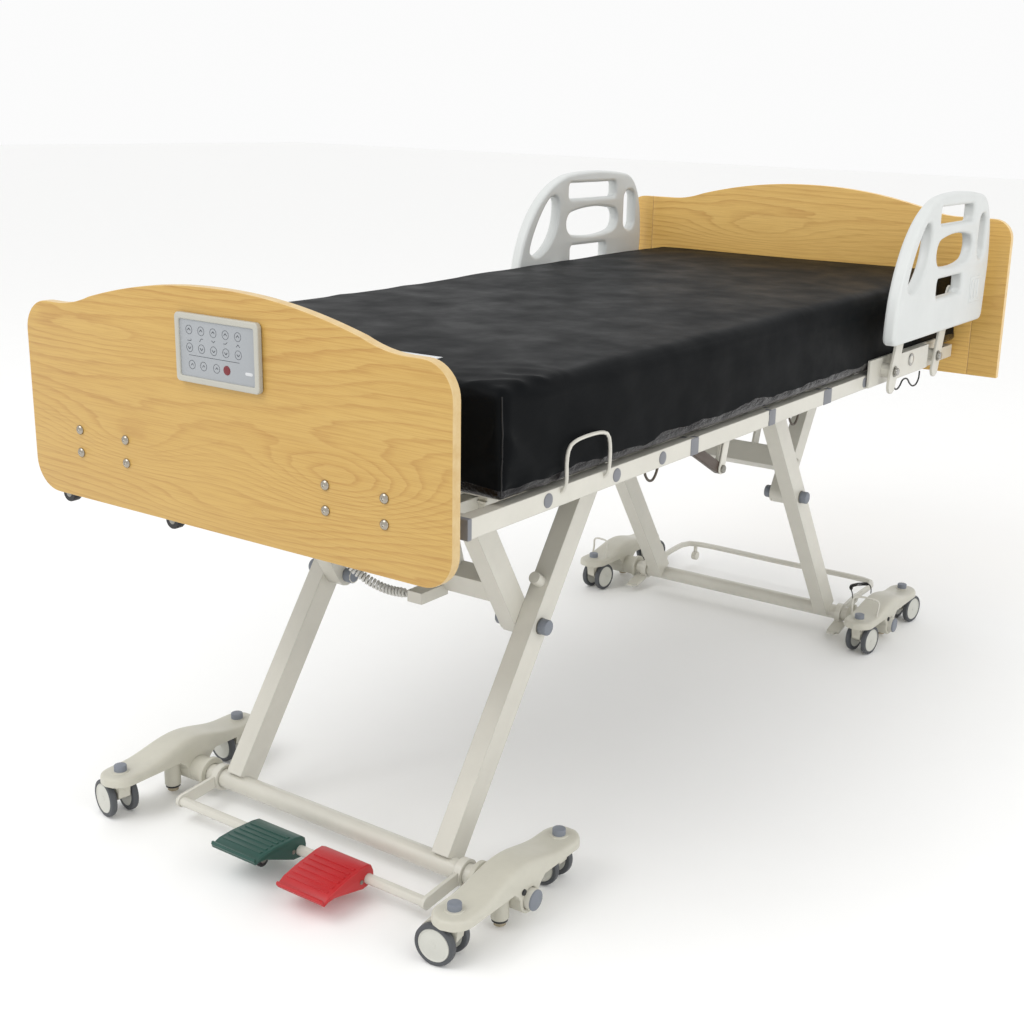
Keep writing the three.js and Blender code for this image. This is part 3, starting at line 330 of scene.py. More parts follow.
HEAD_OVALS = ((-0.15, 1.02, 0.22, 0.05, 5.5), (0.25, 0.84, 0.2, 0.05, 4.5))
OAK_FOOT = oak("oak_footboard", (0.21, 0, 0.13), FOOT_OVALS)
# The headboard's centre and wings use the footboard's oak painted brighter, at level 1.04 and 0.96 against
# the studio's 0.78: painted light.
OAK_HEAD_PAINTED_BRIGHTER = oak("oak_headboard", (1.37, 0, 0.72), HEAD_OVALS, level=1.04)
OAK_WING_PAINTED_BRIGHTER = oak("oak_wing", (2.6, 0, 0.31), level=0.96)
COVER = cover("mattress_cover", (16, 18, 20), (15, 11, 14), 0.776)
SEAM = plain("mattress_seam", (9, 9, 12), 0.5, vary=0.2)
BRONZE = plain("bronze_paint", (86, 72, 62), 0.4, vary=0.08, dirt=0.2)
HOOK = brushed("dark_wire", (112, 104, 96), 0.4, (1, 1, 8))
TAG = plain("white_tag", (236, 238, 240), 0.6, vary=0.03)


# ---------- shapes ----------
def put(name, mesh, material, body=None, angle=38):
    """Adds a mesh as a piece that rides on body, smooth up to that angle between faces."""
    for polygon in mesh.polygons:
        polygon.use_smooth = True
    mesh.set_sharp_from_angle(angle=math.radians(angle))
    obj = bpy.data.objects.new(name, mesh)
    bpy.context.scene.collection.objects.link(obj)
    mesh.materials.append(material)
    if body:
        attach(obj, body)
    return obj


def from_pydata(name, verts, faces):
    mesh = bpy.data.meshes.new(name)
    mesh.from_pydata(verts, [], faces)
    mesh.validate()
    mesh.update()
    return mesh


def fixed_up(mesh):
    """Joins doubled points and turns every face outwards."""
    work = bmesh.new()
    work.from_mesh(mesh)
    bmesh.ops.remove_doubles(work, verts=work.verts, dist=1e-6)
    bmesh.ops.recalc_face_normals(work, faces=work.faces)
    work.to_mesh(mesh)
    work.free()
    return mesh


def lathe(profile, segments):
    """A mesh turned about Z from (radius, height) pairs in millimetres."""
    verts, faces = [], []
    for r, h in profile:
        for i in range(segments):
            a = TAU * i / segments
            verts.append((r * MM * math.cos(a), r * MM * math.sin(a), h * MM))
    for k in range(len(profile) - 1):
        for i in range(segments):
            j = (i + 1) % segments
            a, b = k * segments, (k + 1) * segments
            faces.append((a + i, a + j, b + j, b + i))
    return fixed_up(from_pydata("lathe", verts, faces))


def span(a, b):
    """Two places in rising order, for a piece that is mirrored to the other side."""
    return sorted((a, b))


def outward(s):
    """The axis that points away from the bed on side s."""
    return "x" if s > 0 else "-x"


AXES = {
    "x": Matrix.Rotation(math.pi / 2, 4, "Y"),
    "-x": Matrix.Rotation(-math.pi / 2, 4, "Y"),
    "y": Matrix.Rotation(-math.pi / 2, 4, "X"),
    "-y": Matrix.Rotation(math.pi / 2, 4, "X"),
    "z": Matrix.Identity(4),
    "-z": Matrix.Rotation(math.pi, 4, "X"),
}


def turned(name, profile, at, axis, material, body, segments=40):
    """A turned piece: profile in millimetres along axis from the point at."""
    mesh = lathe(profile, segments)
    place = axis if isinstance(axis, Matrix) else AXES[axis]
    mesh.transform(Matrix.Translation(Vector(at) * MM) @ place)
    return put(name, mesh, material, body)


def domed(r, h, edge=1.2):
    """Profile of a low round cap with a softened rim."""
    return [(0, 0), (r, 0), (r, h - edge), (r - edge * 0.35, h - edge * 0.3), (r - edge, h),
            (r * 0.5, h + edge * 0.25), (0, h + edge * 0.35)]


def slab(name, loops, low, high, axis, bevel, material, body, resolution=3):
    """Outline loops in millimetres pushed along axis from low to high, with rounded edges."""
    data = bpy.data.curves.new(name, "CURVE")
    data.dimensions = "2D"
    data.fill_mode = "BOTH"
    for loop in loops:
        spline = data.splines.new("POLY")
        spline.points.add(len(loop) - 1)
        for point, (u, v) in zip(spline.points, loop):
            point.co = (u * MM, v * MM, 0, 1)
        spline.use_cyclic_u = True
    data.extrude = (high - low) / 2 * MM - bevel * MM
    data.bevel_depth = bevel * MM
    data.bevel_resolution = resolution
    data.offset = -bevel * MM
    temp = bpy.data.objects.new(name, data)
    bpy.context.scene.collection.objects.link(temp)
    graph = bpy.context.evaluated_depsgraph_get()
    mesh = bpy.data.meshes.new_from_object(temp.evaluated_get(graph))
    bpy.data.objects.remove(temp)
    middle = (low + high) / 2 * MM
    if axis == "x":
        place = Matrix(((0, 0, 1, middle), (1, 0, 0, 0), (0, 1, 0, 0), (0, 0, 0, 1)))
    elif axis == "y":
        place = Matrix(((1, 0, 0, 0), (0, 0, 1, middle), (0, 1, 0, 0), (0, 0, 0, 1)))
    else:
        place = Matrix.Translation((0, 0, middle))
    mesh.transform(place)
    mesh.name = name
    return put(name, fixed_up(mesh), material, body, angle=30)


def arc(cx, cy, r, start, end, steps=10):
    """Points of a circular arc, with its angles in degrees."""
    angles = [math.radians(start + (end - start) * i / steps) for i in range(steps + 1)]
    return [(cx + r * math.cos(a), cy + r * math.sin(a)) for a in angles]


def bezier(p0, p1, p2, p3, steps=14):
    """Points of a cubic curve after its first point."""
    out = []
    for i in range(1, steps + 1):
        t = i / steps
        a, b, c, d = (1 - t) ** 3, 3 * t * (1 - t) ** 2, 3 * t * t * (1 - t), t ** 3
        out.append(tuple(a * p0[k] + b * p1[k] + c * p2[k] + d * p3[k] for k in (0, 1)))
    return out


def quadratic(p0, p1, p2, steps=8):
    """Points of a curve with one control point, after its first point."""
    c1 = tuple(p0[k] + (p1[k] - p0[k]) * 2 / 3 for k in (0, 1))
    c2 = tuple(p2[k] + (p1[k] - p2[k]) * 2 / 3 for k in (0, 1))
    return bezier(p0, c1, c2, p2, steps)


def trace(start, *curves):
    """An outline from start through curves, each its control points, its end point and its steps."""
    points = [start]
    for *shape, steps in curves:
        points += (bezier if len(shape) == 3 else quadratic)(points[-1], *shape, steps)
    return points


def rounded(u0, u1, v0, v1, r, steps=6):
    """Outline of a rectangle with round corners."""
    return (arc(u1 - r, v0 + r, r, -90, 0, steps) + arc(u1 - r, v1 - r, r, 0, 90, steps)
            + arc(u0 + r, v1 - r, r, 90, 180, steps) + arc(u0 + r, v0 + r, r, 180, 270, steps))


SPLIT = 24


def route(points, spacing):
    """Evenly spaced points, in metres, on the smooth curve through points in millimetres."""
    p = [Vector(q) * MM for q in points]
    p = [p[0] * 2 - p[1]] + p + [p[-1] * 2 - p[-2]]
    dense = []
    for i in range(1, len(p) - 2):
        a, b, c, d = p[i - 1:i + 3]
        t0 = 0.0
        t1 = t0 + math.sqrt((b - a).length)
        t2 = t1 + math.sqrt((c - b).length)
        t3 = t2 + math.sqrt((d - c).length)
        for k in range(SPLIT):
            t = t1 + (t2 - t1) * k / SPLIT
            a1 = a * ((t1 - t) / (t1 - t0)) + b * ((t - t0) / (t1 - t0))
            a2 = b * ((t2 - t) / (t2 - t1)) + c * ((t - t1) / (t2 - t1))
            a3 = c * ((t3 - t) / (t3 - t2)) + d * ((t - t2) / (t3 - t2))
            b1 = a1 * ((t2 - t) / (t2 - t0)) + a2 * ((t - t0) / (t2 - t0))
            b2 = a2 * ((t3 - t) / (t3 - t1)) + a3 * ((t - t1) / (t3 - t1))
            dense.append(b1 * ((t2 - t) / (t2 - t1)) + b2 * ((t - t1) / (t2 - t1)))
    dense.append(p[-2])
    total = sum((b - a).length for a, b in zip(dense, dense[1:]))
    count = max(2, round(total / spacing))
    out, walked, k = [dense[0]], 0.0, 0
    for i in range(1, count):
        goal = total * i / count
        while walked + (dense[k + 1] - dense[k]).length < goal:
            walked += (dense[k + 1] - dense[k]).length
            k += 1
        out.append(dense[k].lerp(dense[k + 1], (goal - walked) / (dense[k + 1] - dense[k]).length))
    return out + [dense[-1]]


def helix(points, radius, pitch, ends=0.0, per_turn=14):
    """A coil of that radius round the route, in metres; ends is the share left straight at each end."""
    line = route(points, pitch * MM / per_turn)
    side = Vector((1, 0, 0))
    out = []
    for i, centre in enumerate(line):
        ahead = (line[min(i + 1, len(line) - 1)] - line[max(i - 1, 0)]).normalized()
        side = (side - ahead * side.dot(ahead)).normalized()
        other = ahead.cross(side)
        a = TAU * i / per_turn
        t = i / (len(line) - 1)
        reach = radius * MM * min(1, 0.1 + 16 * max(0, t - ends), 0.1 + 16 * max(0, 1 - ends - t))
        out.append(centre + (side * math.cos(a) + other * math.sin(a)) * reach)
    return out


def strand(name, points, r, material, body=None, resolution=6, cyclic=False):
    """A round bar or cord along points in metres."""
    data = bpy.data.curves.new(name, "CURVE")
    data.dimensions = "3D"
    data.bevel_depth = r * MM
    data.bevel_resolution = resolution
    data.use_fill_caps = True
    spline = data.splines.new("POLY")
    spline.points.add(len(points) - 1)
    for point, co in zip(spline.points, points):
        point.co = (*co, 1)
    spline.use_cyclic_u = cyclic
    spline.use_smooth = True
    data.materials.append(material)
    obj = bpy.data.objects.new(name, data)
    bpy.context.scene.collection.objects.link(obj)
    if body:
        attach(obj, body)
    return obj


# ---------- cords ----------
COIL = [(-95, -795, 683.4), (-95, -795, 655), (-92, -774, 600), (-82, -742, 548), (-66, -722, 510),
        (-42, -708, 486), (-14, -700, 474), (14, -696, 470), (38, -694, 471), (57.4, -694, 471)]
LOOPS = [(474, y, z) for y, z in (
    (596, 741.7), (596, 734), (606, 722), (622, 718), (640, 724), (652, 734), (668, 737), (688, 733),
    (706, 720), (730, 710), (754, 712), (768, 724), (770, 734), (770, 741.7))]
LEASH = [(317, 862, 78.5), (316, 858, 95), (316, 847, 111), (320, 838, 123), (330, 838, 129),
         (342, 846, 131), (353, 857, 131), (359, 868, 126), (361, 876, 114), (361, 878, 100)]


def make_cord(name, points, diameter, material, body, node, resolution):
    """A cord along points that goes back into the object at its far end."""
    piece = strand(name, points, diameter / 2, material, body, resolution)
    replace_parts(piece, node)


def make_cords():
    make_cord("lift_cable", helix(COIL, 6.9, 7.6), 5.4, CABLE, "deck", "coil_cable", 3)
    make_cord("assist_release", route(LOOPS, 0.004), 4, BLACK, "back", "release_cord", 4)
    make_cord("base_lanyard", helix(LEASH, 3.6, 3.4, 0.24), 2.6, BLACK, "base_head", "lanyard", 2)


make_cords()


# ---------- CAD nodes that stay ----------
def dress(node, material):
    """Gives a CAD node its material, with flat faces and smooth rounds."""
    obj = NODES[node]
    mesh = obj.data
    mesh.materials.clear()
    mesh.materials.append(material)
    for polygon in mesh.polygons:
        polygon.use_smooth = True
        polygon.material_index = 0
    weld = obj.modifiers.new("weld", "WELD")
    weld.merge_threshold = 1e-5
    split = obj.modifiers.new("split", "EDGE_SPLIT")
    split.split_angle = math.radians(36)


ENDS = ("foot", "head")
SIDES = (("right", 1), ("left", -1))


def dress_frames():
    """Paint for the frames, lifts, brackets, plungers and caster forks."""
    for node in ("deck_frame", "back_section", "thigh_section", "calf_section", "pedal_bar", "brake_bar"):
        dress(node, FRAME)
    for end in ENDS:
        dress(f"leg_frame_{end}", FRAME)
        dress(f"brace_frame_{end}", FRAME)
        dress(f"lift_actuator_{end}", ACTUATOR)
        dress(f"lift_rod_{end}", STEEL)
        for side, _ in SIDES:
            dress(f"plunger_{end}_{side}", BEIGE)
    for side, _ in SIDES:
        dress(f"assist_mount_{side}", FRAME)
        dress(f"assist_arm_front_{side}", FRAME)
        dress(f"assist_arm_rear_{side}", FRAME)
    for name in CASTERS:
        dress(f"caster_fork_{name}", POD_EDGED)


# ---------- end boards ----------
def arched(half, bottom, low, shoulder, corner, sweep_from, sweep_to, crest):
    """Outline of an end board: low and corner are its lower and upper corner radii, 0 for a sharp one."""
    rise = shoulder + (crest - shoulder) * 0.3
    middle = sweep_from - (sweep_from - sweep_to) * 0.5
    right = arc(half - low, bottom + low, low, -90, 0) if low else [(half, bottom)]
    right += arc(half - corner, shoulder - corner, corner, 0, 90) if corner else [(half, shoulder)]
    right += trace((sweep_from, shoulder), ((middle, shoulder), (sweep_to, rise), 12),
                   ((sweep_to * 0.6, crest - 8), (sweep_to * 0.3, crest), (0, crest), 24))
    return right + [(-u, v) for u, v in reversed(right[:-1])]


FOOT_BOARD = (-1095, -1076)
HEAD_BOARD = (1082, 1101)
BOLTS = [(x, z) for x in (-343, -226, 226, 343) for z in (756, 796)]
BOLT_DOME = [(0, 0), (8.2, 0), (8.4, 0.9), (7.6, 2.6), (5.6, 4.1), (3.2, 4.9), (2.2, 5.0), (1.6, 3.8),
             (0, 3.7)]
STRAP_HEIGHTS = (760, 985)


def end_boards():
    foot_outline = arched(469, 674, 55, 1011, 55, 388, 300, 1070)
    foot = slab("footboard_panel", [foot_outline], *FOOT_BOARD, "y", 1.6, OAK_FOOT, "deck")
    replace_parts(foot, "footboard")
    head_outline = arched(493, 691, 0, 1101, 0, 430, 330, 1160)
    head = slab("headboard_panel", [head_outline], *HEAD_BOARD, "y", 1.2, OAK_HEAD_PAINTED_BRIGHTER, "deck")
    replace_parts(head, "headboard_centre")
    for side, s in SIDES:
        outline = [(493.8, 691), (573, 691)] + arc(523, 1051, 50, 0, 90) + [(493.8, 1101)]
        mirrored = [(s * u, v) for u, v in outline][::s]
        wing = slab(f"headboard_side_{side}", [mirrored], *HEAD_BOARD, "y", 1.2, OAK_WING_PAINTED_BRIGHTER, "deck")
        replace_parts(wing, f"headboard_wing_{side}")
        for z in STRAP_HEIGHTS:
            strap = rounded(*span(s * 380, s * 565), z, z + 30, 4)
            slab(f"wing_strap_{side}_{z}", [strap], 1101.3, 1104.7, "y", 0.8, ZINC, "deck", 2)
    for i, (x, z) in enumerate(BOLTS):
        turned(f"foot_bolt_{i}", BOLT_DOME, (x, FOOT_BOARD[0] - 0.1, z), "-y", BOLT, "deck", 32)
        turned(f"head_bolt_{i}", BOLT_DOME, (x, HEAD_BOARD[1] + 0.1, z), "y", BOLT, "deck", 32)


# ---------- control panel ----------
PANEL_FACE = -1102.4
KEY_R = 7.2
KEY_COLUMNS = [-50 + 27 * i for i in range(5)]
UPPER_KEYS, LOWER_KEYS, LAST_KEYS = 1002, 974, 947
PICTOGRAMS = (
    ((-4, -3), (4, -3), (4, 0)),
    ((-4, -3), (0, 2), (4, 2)),
    ((-4, 2), (0, -1), (4, 2)),
    ((-5, 0), (0, 0), (4, 3)),
    ((-4, -2), (0, 2), (4, -2)),
)


def chevron(name, x, z, up, material, y):
    """A printed arrowhead."""
    s = 1 if up else -1
    points = [(-3.2, -1.5), (0, 1.7), (3.2, -1.5), (3.2, -0.3), (0, 2.9), (-3.2, -0.3)]
    placed = [(x + u, z + s * v) for u, v in points][::s]
    return slab(name, [placed], y - 0.25, y, "y", 0.05, material, "deck", 1)


def stroke(name, points, width, y, material):
    """A printed line through points (x, z)."""
    loops = []
    for (x0, z0), (x1, z1) in zip(points, points[1:]):
        a = math.atan2(z1 - z0, x1 - x0)
        u, v = -math.sin(a) * width / 2, math.cos(a) * width / 2
        loops.append([(x0 - u, z0 - v), (x1 - u, z1 - v), (x1 + u, z1 + v), (x0 + u, z0 + v)])
    for i, loop in enumerate(loops):
        slab(f"{name}_{i}", [loop], y - 0.2, y, "y", 0.03, material, "deck", 1)


def key_ring(name, x, z, r, y, material):
    """The printed circle round a key, with a fine gap in it."""
    outer = arc(x, z, r, 0, 348, 29)
    inner = arc(x, z, r - 0.6, 0, 348, 29)
    slab(name, [outer, inner[::-1]], y - 0.25, y, "y", 0.04, material, "deck", 1)


def control_panel():
    outer, hole = rounded(-81, 103, 918, 1028, 8), rounded(-71, 93, 928, 1018, 3)
    rim = slab("panel_rim", [outer, hole[::-1]], -1105, -1095.3, "y", 2.4, PANEL_FRAME, "deck", 4)
    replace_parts(rim, "control_panel")
    film = rounded(-71.5, 93.5, 927.5, 1018.5, 3)
    slab("panel_membrane", [film], PANEL_FACE, -1096, "y", 0.4, MEMBRANE, "deck", 1)
    for i, (x, figure) in enumerate(zip(KEY_COLUMNS, PICTOGRAMS)):
        for z, up in ((UPPER_KEYS, True), (LOWER_KEYS, False)):
            key_ring(f"key_{i}_{int(up)}", x, z, KEY_R, PANEL_FACE, INK)
            chevron(f"arrow_{i}_{int(up)}", x, z, up, INK, PANEL_FACE - 0.2)
        middle = (UPPER_KEYS + LOWER_KEYS) // 2
        stroke(f"pictogram_{i}", [(x + u, middle + v) for u, v in figure], 0.9, PANEL_FACE, INK)
    stroke("panel_rule", [(-52, 962), (60, 962)], 0.7, PANEL_FACE, INK)
    for i, x in enumerate((-46, -20, 9)):
        key_ring(f"low_key_{i}", x, LAST_KEYS, KEY_R, PANEL_FACE, INK)
        tick = [(x - 2.5, LAST_KEYS - 1.5), (x + 0.5, LAST_KEYS + 2), (x + 3, LAST_KEYS - 1)]
        stroke(f"low_mark_{i}", tick, 0.9, PANEL_FACE, INK)
    turned("stop_key", domed(7.4, 0.7, 0.3), (32, PANEL_FACE, LAST_KEYS), "-y", KEY_RED, "deck", 36)
    slab("panel_pill", [rounded(72, 88, 944.5, 949.5, 2.4)], PANEL_FACE - 0.25, PANEL_FACE, "y", 0.05,
         KEY_LIGHT, "deck", 1)


# ---------- mattress ----------
HALF_X, FOOT_Y, HEAD_Y, LOW_Z, HIGH_Z = 0.457, -0.960, 1.072, 0.776, 0.954
KNEE_Y, HIP_Y = -0.190, 0.110
CELL = 0.009
COVER_SLACK = 0.004
FINE_STEPS = (0.0, 0.002, 0.0045, 0.007, 0.0095, 0.012, 0.0155, 0.020, 0.026, 0.033)


def ease(a, b, t):
    """A smooth step from 0 at a to 1 at b."""
    t = min(1, max(0, (t - a) / (b - a)))
    return t * t * (3 - 2 * t)


def ridged(x, y, z):
    """Narrow crests, 0 to 1, along the zero lines of a noise field."""
    return max(0.0, 1 - 3.6 * abs(noise.noise(Vector((x, y, z)))))


def on_round_box(x, y, z, r):
    """Where a point of the plain box goes when its edges are rounded to radius r, and its normal there."""
    core = Vector((max(-HALF_X + r, min(HALF_X - r, x)), max(FOOT_Y + r, min(HEAD_Y - r, y)),
                   max(LOW_Z + r, min(HIGH_Z - r, z))))
    away = Vector((x, y, z)) - core
    if away.length > 1e-9:
        normal = away.normalized()
        return core + normal * r, normal
    return Vector((x, y, z)), Vector((0, 0, 1))


def top_swell(p, edge_x, edge_y, from_foot):
    """How far the top rises: a low crown, broad unevenness, and creases from the foot corners."""
    crown = 0.004 * ease(0, 0.20, edge_x) * ease(0, 0.25, edge_y) + 0.011 * ease(0.5, 1.7, from_foot)
    broad = noise.noise(Vector((p.x * 2.2 + 3.1, p.y * 2.6, 1.7)))
    tension = ridged(p.x * 2.6 + p.y * 0.7, p.y * 4.2 + p.x * 2.2, 4.2)
    near_edge = 1 - ease(0.02, 0.26, edge_x)
    corner = (1 - ease(0.0, 0.24, edge_x)) * (1 - ease(0.0, 0.30, from_foot))
    pulls = ridged(p.x * 7 - p.y * 12, p.y * 5 + p.x * 7, 2.2)
    return crown + 0.0026 * broad + 0.0012 * tension * (0.4 + near_edge) + 0.0060 * corner * pulls


def side_swell(p, up, edge_x, from_foot):
    """How far a side stands out: slanting folds near the corners, a soft belly, and a crumpled hem."""
    drop = HIGH_Z - p.z
    reach = from_foot if edge_x < 0.02 else edge_x
    fold = ridged((drop - 0.50 * reach) * 11, (reach + 0.5 * drop) * 2.2, 7.7 if p.x > 0 else 3.1)
    ripple = noise.noise(Vector((p.x * 9, p.y * 9, p.z * 2.2 + 0.7)))
    drape = noise.noise(Vector((p.x * 4 + p.z * 7, p.y * 4 + p.z * 7, 6.1)))
    belly = math.sin(math.pi * min(1, max(0, up)))
    taut = math.exp(-reach / 0.30)
    out = 0.0085 * fold * taut * ease(0, 0.03, drop) + 0.0030 * belly * drape + 0.0014 * ripple
    out += 0.0026 * (1 - up) ** 2
    hem = 1 - ease(0.020, 0.040, p.z - LOW_Z)
    crumple = noise.noise(Vector((p.x * 22, p.y * 22, p.z * 60)))
    near_foot = 0.35 + 0.9 * (1 - ease(0.0, 0.40, from_foot))
    out += hem * (0.0010 + 0.0066 * crumple * near_foot)
    piping = math.exp(-((drop - 0.032) / 0.004) ** 2)
    return out - 0.0024 * piping * ease(0.3, 0.9, from_foot)


def mattress_point(x, y, z):
    """Moves a point of the plain box to its place on the soft, rounded, creased cover."""
    up = (z - LOW_Z) / (HIGH_Z - LOW_Z)
    from_foot = y - FOOT_Y
    edge_y = min(from_foot, HEAD_Y - y)
    along = ease(0.05, 0.55, edge_y)
    p, normal = on_round_box(x, y, z, 0.014 + (0.012 + 0.014 * along) * up)
    edge_x = HALF_X - abs(p.x)
    top = ease(0.3, 0.9, normal.z)
    side = 1 - abs(normal.z)
    push = top * top_swell(p, edge_x, edge_y, from_foot)
    push += side * side_swell(p, up, edge_x, from_foot)
    return p + normal * (push - COVER_SLACK)


def lattice(low, high, fine_low=True, fine_high=True):
    """Steps across one side of the box, close together beside the rounded edges."""
    start = [low + t for t in FINE_STEPS] if fine_low else [low]
    stop = [high - t for t in reversed(FINE_STEPS)] if fine_high else [high]
    count = max(1, round((stop[0] - start[-1]) / CELL))
    middle = [start[-1] + (stop[0] - start[-1]) * i / count for i in range(1, count)]
    return start + middle + stop


def mattress_piece(name, y0, y1, first, last):
    """One length of the mattress; first and last say whether it has the end face."""
    xs, ys, zs = lattice(-HALF_X, HALF_X), lattice(y0, y1, first, last), lattice(LOW_Z, HIGH_Z)
    index, verts, faces = {}, [], []

    def corner(i, j, k):
        key = (i, j, k)
        if key not in index:
            index[key] = len(verts)
            verts.append(mattress_point(xs[i], ys[j], zs[k]))
        return index[key]

    def sheet(firsts, seconds, place, flip):
        for a in range(firsts):
            for b in range(seconds):
                face = [place(a, b), place(a + 1, b), place(a + 1, b + 1), place(a, b + 1)]
                faces.append(face[::-1] if flip else face)

    nx, ny, nz = len(xs) - 1, len(ys) - 1, len(zs) - 1
    sheet(nx, ny, lambda i, j: corner(i, j, 0), True)
    sheet(nx, ny, lambda i, j: corner(i, j, nz), False)
    sheet(ny, nz, lambda j, k: corner(0, j, k), True)
    sheet(ny, nz, lambda j, k: corner(nx, j, k), False)
    if first:
        sheet(nx, nz, lambda i, k: corner(i, 0, k), False)
    if last:
        sheet(nx, nz, lambda i, k: corner(i, ny, k), True)
    mesh = from_pydata(name, verts, faces)
    for polygon in mesh.polygons:
        polygon.use_smooth = True
    mesh.materials.append(COVER)
    obj = bpy.data.objects.new(name, mesh)
    bpy.context.scene.collection.objects.link(obj)
    return obj


def mattress():
    foot = mattress_piece("mattress_cover_foot", FOOT_Y, KNEE_Y, True, False)
    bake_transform(foot)
    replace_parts(foot, "mattress_calf", "mattress_thigh")
    seat = mattress_piece("mattress_cover_seat", KNEE_Y, HIP_Y, False, False)
    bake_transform(seat)
    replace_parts(seat, "mattress_seat")
    back = mattress_piece("mattress_cover_back", HIP_Y, HEAD_Y, False, True)
    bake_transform(back)
    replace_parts(back, "mattress_back")
    corner_seams()
    mattress_tag()


def corner_seams():
    steps = 16
    low, high = LOW_Z + 0.006, HIGH_Z - 0.008
    for side, s in SIDES:
        for end, y, body in (("foot", FOOT_Y, "calf"), ("head", HEAD_Y, "back")):
            rise = [mattress_point(s * HALF_X, y, low + (high - low) * i / steps) for i in range(steps + 1)]
            strand(f"corner_seam_{end}_{side}", [tuple(p) for p in rise], 1.2, SEAM, body, 3)


def mattress_tag():
    """A blank care tag, lying on the top near the foot end."""
    across, along = 10, 5
    left, near, width, depth = 0.140, -0.862, 0.088, 0.046
    lift = Vector((0, 0, 0.0014))
    verts = [mattress_point(left + width * i / across, near + depth * j / along, HIGH_Z) + lift
             for i in range(across + 1) for j in range(along + 1)]
    row = along + 1
    faces = [(i * row + j, (i + 1) * row + j, (i + 1) * row + j + 1, i * row + j + 1)
             for i in range(across) for j in range(along)]
    tag = put("mattress_tag", from_pydata("mattress_tag", verts, faces), TAG, "calf")
    thick = tag.modifiers.new("thick", "SOLIDIFY")
    thick.thickness = 0.0008


# ---------- pods ----------
POD_X = 409
POD_LOW, POD_HIGH, POD_CROWN = 78, 96, 21
POD_HALF, POD_SLOPE = 38, 128
STEM_REACH = 151
TUBE_Z = 50


def pod_cover(name, centre, x, material, body):
    """The long rounded cover: flat ends, raised middle, all edges softened."""
    verts, faces = [], []
    reach, lengths, around, power = STEM_REACH + POD_HALF, 84, 40, 2 / 5
    stations = [-reach + 2 * reach * i / lengths for i in range(lengths + 1)]
    for t in stations:
        over = max(0.0, abs(t) - STEM_REACH)
        width = max(1.2, math.sqrt(max(0.0, POD_HALF * POD_HALF - over * over)))
        crown = POD_CROWN * 0.5 * (1 + math.cos(math.pi * min(1, abs(t) / POD_SLOPE)))
        shrink = (1 - (over / (POD_HALF + 1)) ** 6) ** (1 / 6)
        rise = (POD_HIGH + crown - POD_LOW) * shrink
        for k in range(around + 1):
            a = math.pi * k / around
            u = math.copysign(abs(math.cos(a)) ** power, math.cos(a)) * width
            v = POD_LOW + rise * (abs(math.sin(a)) ** power)
            verts.append(((x + u) * MM, (centre + t) * MM, v * MM))
    ring = around + 1
    for i in range(len(stations) - 1):
        for k in range(around):
            a, b = i * ring + k, (i + 1) * ring + k
            faces.append((a, b, b + 1, a + 1))
        faces.append((i * ring, i * ring + around, (i + 1) * ring + around, (i + 1) * ring))
    faces.append(tuple(range(ring)))
    last = (len(stations) - 1) * ring
    faces.append(tuple(last + k for k in reversed(range(ring))))
    return put(name, fixed_up(from_pydata(name, verts, faces)), material, body, angle=50)


# Each end's tube y, the way out from the bed, and how far the pods' middle is from the tube.
TUBES = {"foot": (-846, -1, -11), "head": (813, 1, 20)}
POD_COLLAR = [(19.6, 0), (30, 0), (31, 1), (31, 9), (30, 10), (26.5, 11), (26, 40), (19.6, 40), (19.6, 0)]
STEM_RIM = [(12, 0), (17, 0), (16, 1.8), (12, 2.2), (12, 0)]
STEM_SOCKET = [(6.3, 0), (18, 0), (19, 1), (19, 10), (6.3, 10), (6.3, 0)]
LOCK_HOUSING = [(11.8, 18), (15, 18), (16, 20), (16, 50), (19, 58), (19, 82), (11.8, 82), (11.8, 18)]
LOCK_RING = [(11.8, 14), (14.5, 14), (14.5, 19), (11.8, 19), (11.8, 14)]
SIDE_PIN = domed(5.5, 3, 0.8)


def pod_saddle(name, tube, s, body):
    """The clamp that wraps the base tube under a pod."""
    outline = ([(tube - 62, 84), (tube - 50, 79), (tube - 34, 66)] + arc(tube, TUBE_Z, 27, 168, 372, 20)
               + [(tube + 34, 66), (tube + 50, 79), (tube + 62, 84), (tube + 40, 98), (tube - 40, 98)])
    hole = arc(tube, TUBE_Z, 19.6, 0, 350, 34)
    slab(name, [outline, hole[::-1]], *span(s * 372, s * 446), "x", 3.0, POD, body)


def pods():
    for end in ENDS:
        tube, out, shift = TUBES[end]
        body = f"base_{end}"
        centre = tube + shift
        for side, s in SIDES:
            x, tag = s * POD_X, f"{end}_{side}"
            top = pod_cover(f"pod_cover_{tag}", centre, x, POD, body)
            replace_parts(top, f"pod_{end}_{side}")
            pod_saddle(f"pod_saddle_{tag}", tube, s, body)
            turned(f"pod_collar_{tag}", POD_COLLAR, (s * 332, tube, TUBE_Z), outward(s), POD, body, 44)
            for k in (-1, 1):
                y = centre + k * STEM_REACH
                turned(f"stem_cap_{tag}_{k + 1}", domed(12.2, 13, 1.4), (x, y, POD_HIGH), "z", CAP, body)
                turned(f"stem_rim_{tag}_{k + 1}", STEM_RIM, (x, y, POD_HIGH - 0.4), "z", POD, body)
                turned(f"stem_socket_{tag}_{k + 1}", STEM_SOCKET, (x, y, 72), "z", POD, body)
            lock_y = tube + out * 37
            turned(f"lock_housing_{tag}", LOCK_HOUSING, (x, lock_y, 0), "z", POD, body)
            turned(f"lock_ring_{tag}", LOCK_RING, (x, lock_y, 0), "z", DARK, body)
            turned(f"side_pin_{tag}", SIDE_PIN, (s * 446, tube - 20, 71), outward(s), DARK, body, 28)
            if end == "head":
                guard(side, s, centre - STEM_REACH, body)


